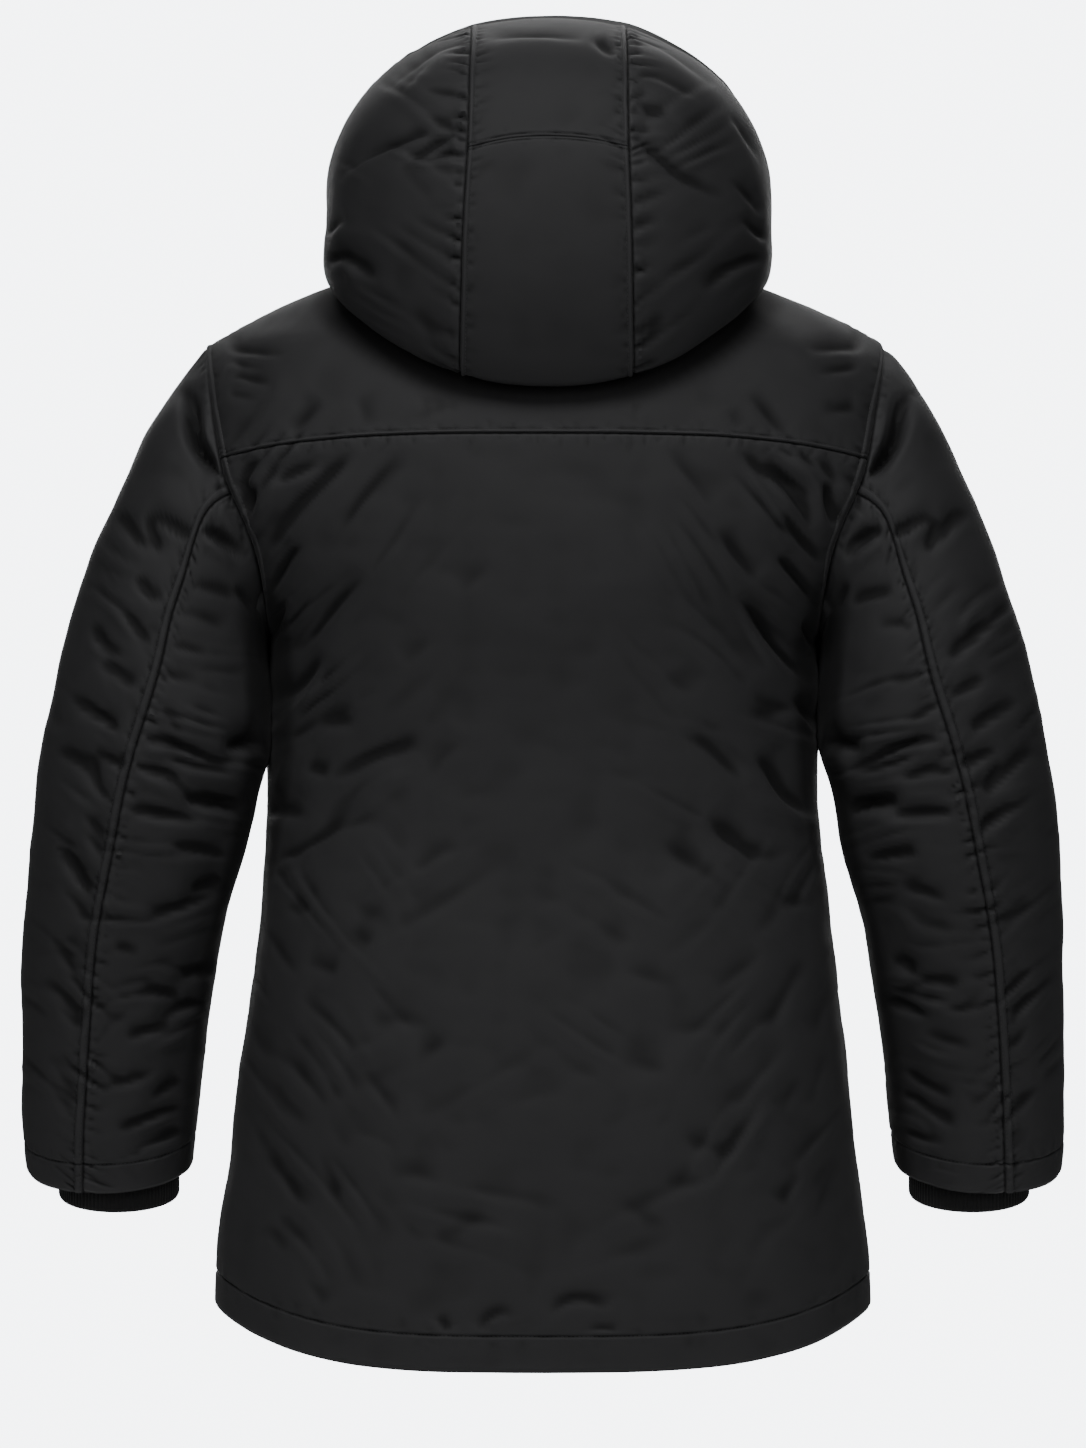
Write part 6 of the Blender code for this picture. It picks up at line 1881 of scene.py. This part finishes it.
def thread_finish():
    paint = Paint("black_thread")
    place = paint.add("ShaderNodeTexCoord").outputs["Object"]
    fibres = paint.number("ShaderNodeTexNoise", "Fac", None,
                          {"Vector": place, "Scale": 3500.0, "Detail": 1.0})
    colour = blended(paint, fibres, (0.016, 0.016, 0.0165), (0.03, 0.03, 0.031))
    paint.shade(Base_Color=colour, Roughness=0.45 + fibres * 0.15,
                Normal=raised(paint, fibres, 0.00004), Specular_IOR_Level=0.4)
    return paint.material


def stitch_line(seam, side, offset):
    """The line on the finished cloth at an offset from a seam, and the outward directions on it."""
    form, surface = seam.form, seam.form.surface()
    grids = [surface, form.outward(), seam.away]
    if seam.kind == "up":
        chosen = np.arange(surface.shape[0])[seam.rows]
    else:
        chosen = np.arange(surface.shape[1])[seam.columns]
        grids = [grid.swapaxes(0, 1) for grid in grids]
    points, outward = [], []
    for k in chosen:
        line, facing, away = (grid[k] for grid in grids)
        order = np.argsort(away)
        for source, result in ((line, points), (facing, outward)):
            result.append(between(away[order], source[order], [side * offset * MM])[0])
    return np.array(points), unit(np.array(outward))


def thread(name, rows):
    parts = []
    for seam, side, offset in rows:
        line, outward = stitch_line(seam, side, offset)
        run = distances(line)
        places = np.arange(STITCH_PITCH / 2, run[-1] - STITCH_PITCH / 2, STITCH_PITCH)
        centres, facing = between(run, line, places), unit(between(run, outward, places))
        ahead = unit(between(run, line, places + 0.0008) - between(run, line, places - 0.0008))
        parts.append(copies(STITCH, STITCH_FACES, centres + facing * THREAD_LIFT,
                            ahead, np.cross(facing, ahead), facing))
    return hard_piece(name, parts, black_thread, "parka", None)


black_thread = thread_finish()
for form in FORMS:
    thread(f"stitches_{form.name}", [row for row in STITCH_ROWS if row[0].form is form])

# %% [markdown]
# Each panel was flat before it was sewn. Its cut is given here in metres: the width and the length of
# the smallest rectangle that it is cut from, and its own area, for the part that shows. The coat is
# draped on its wearer from the shoulders, and the other panels hang from the yoke. The loop below only
# looks up each panel by name, and nothing is set on it.

# %% List what each panel was cut from
CUTS = [
    ("back_panel_cloth", 0.668, 0.704, 0.414, "hung", ["back_yoke_cloth"]),
    ("back_yoke_cloth", 0.588, 0.215, 0.100, "draped", []),
    ("front_{side}_cloth", 0.323, 0.800, 0.230, "hung", ["back_yoke_cloth"]),
    ("sleeve_upper_{side}_cloth", 0.362, 0.574, 0.170, "hung", ["back_yoke_cloth", "front_{side}_cloth"]),
    ("sleeve_under_{side}_cloth", 0.269, 0.481, 0.097, "hung", ["sleeve_upper_{side}_cloth"]),
    ("rib_cuff_{side}_knit", 0.369, 0.113, 0.0346, "hung", ["sleeve_upper_{side}_cloth"]),
    ("hood_centre_back_cloth", 0.136, 0.314, 0.042, "draped", ["back_yoke_cloth"]),
    ("hood_centre_top_cloth", 0.125, 0.312, 0.0388, "draped", ["hood_centre_back_cloth"]),
    ("hood_side_{side}_cloth", 0.330, 0.473, 0.114, "draped", ["back_yoke_cloth"]),
    ("hood_brim_cloth", 0.834, 0.032, 0.0184, "draped", ["hood_centre_top_cloth"]),
    ("zip_tape_{side}_weave", 0.0195, 0.817, 0.0158, "hung", ["front_{side}_cloth"]),
]
for name, width, length, area, held, above in CUTS:
    for side in ("left", "right") if "{side}" in name else ("",):
        bpy.data.objects[name.format(side=side)]
        [piece.format(side=side) for piece in above]
print("kinds of panel:", len(CUTS))

# %% [markdown]
# The studio is plain: a pale surround with no edges in it, and seven wide lights that all face the
# middle of the coat. The strongest is high behind the coat, because the back is the side to see,
# and two weaker ones are in front. The other four stand upright near the corners. The coat is very
# dark, so its form is only read from the soft shine that a wide light leaves on each fold.

# %% Light the coat
STUDIO_COLOUR = (0.93, 0.96, 1.0, 1.0)
FILL, SEEN = 0.035, 6.5
MIDDLE = (0.0, 0.0, -0.35)


def background(strength):
    node = world.node_tree.nodes.new("ShaderNodeBackground")
    node.inputs["Color"].default_value = STUDIO_COLOUR
    node.inputs["Strength"].default_value = strength
    return node.outputs[0]


world = bpy.data.worlds.new("studio")
world.use_nodes = True
world.node_tree.nodes.clear()
bpy.context.scene.world = world
mix = world.node_tree.nodes.new("ShaderNodeMixShader")
seen = world.node_tree.nodes.new("ShaderNodeLightPath").outputs["Is Camera Ray"]
surface = world.node_tree.nodes.new("ShaderNodeOutputWorld").inputs["Surface"]
links = [(seen, mix.inputs[0]), (background(FILL), mix.inputs[1]),
         (background(SEEN), mix.inputs[2]), (mix.outputs[0], surface)]
for source, target in links:
    world.node_tree.links.new(source, target)


def soft_light(name, place, size, power):
    data = bpy.data.lights.new(name, "AREA")
    data.shape, data.size, data.size_y, data.energy = "RECTANGLE", *size, power
    light = bpy.data.objects.new(name, data)
    light.location = place
    aim = np.array(MIDDLE) - np.array(place)
    flat = math.hypot(aim[0], aim[1])
    light.rotation_euler = (math.atan2(flat, -aim[2]), 0, math.atan2(aim[1], aim[0]) - math.pi / 2)
    bpy.context.scene.collection.objects.link(light)


LIGHTS = [
    ("light_over_back", (0.2, 2.2, 3.0), (2.8, 1.2), 108),
    ("light_over_front", (-0.2, -2.8, 2.4), (2.8, 1.2), 60),
    ("light_low_front", (0.0, -3.6, 0.4), (3.0, 1.4), 70),
    ("light_left_back", (1.5, 3.5, 0.8), (1.0, 2.4), 30),
    ("light_right_back", (-1.5, 3.5, 0.8), (1.0, 2.4), 30),
    ("light_left_front", (1.4, -3.6, 0.8), (1.0, 2.4), 18),
    ("light_right_front", (-1.4, -3.6, 0.8), (1.0, 2.4), 18),
]
for light in LIGHTS:
    soft_light(*light)
print("soft lights:", len(LIGHTS), "power in all:", sum(light[3] for light in LIGHTS), "W")

# %% [markdown]
# The floor is a flat, pale disc well under the hem. It isn't part of the coat, so it is staged.

# %% Lay the floor
FLOOR_RADIUS, FLOOR_LEVEL = 2.4, -1.7
floor_mesh = bmesh.new()
bmesh.ops.create_circle(floor_mesh, cap_ends=True, segments=128, radius=FLOOR_RADIUS)
floor_data = bpy.data.meshes.new("floor")
floor_mesh.to_mesh(floor_data)
floor = bpy.data.objects.new("floor", floor_data)
floor.location.z = FLOOR_LEVEL
bpy.context.scene.collection.objects.link(floor)
floor_paint = Paint("floor_paint")
floor_paint.shade(Base_Color=(0.8, 0.8, 0.8, 1.0), Roughness=0.7)
floor_data.materials.append(floor_paint.material)
print("floor at", FLOOR_LEVEL, "m, radius", FLOOR_RADIUS, "m")
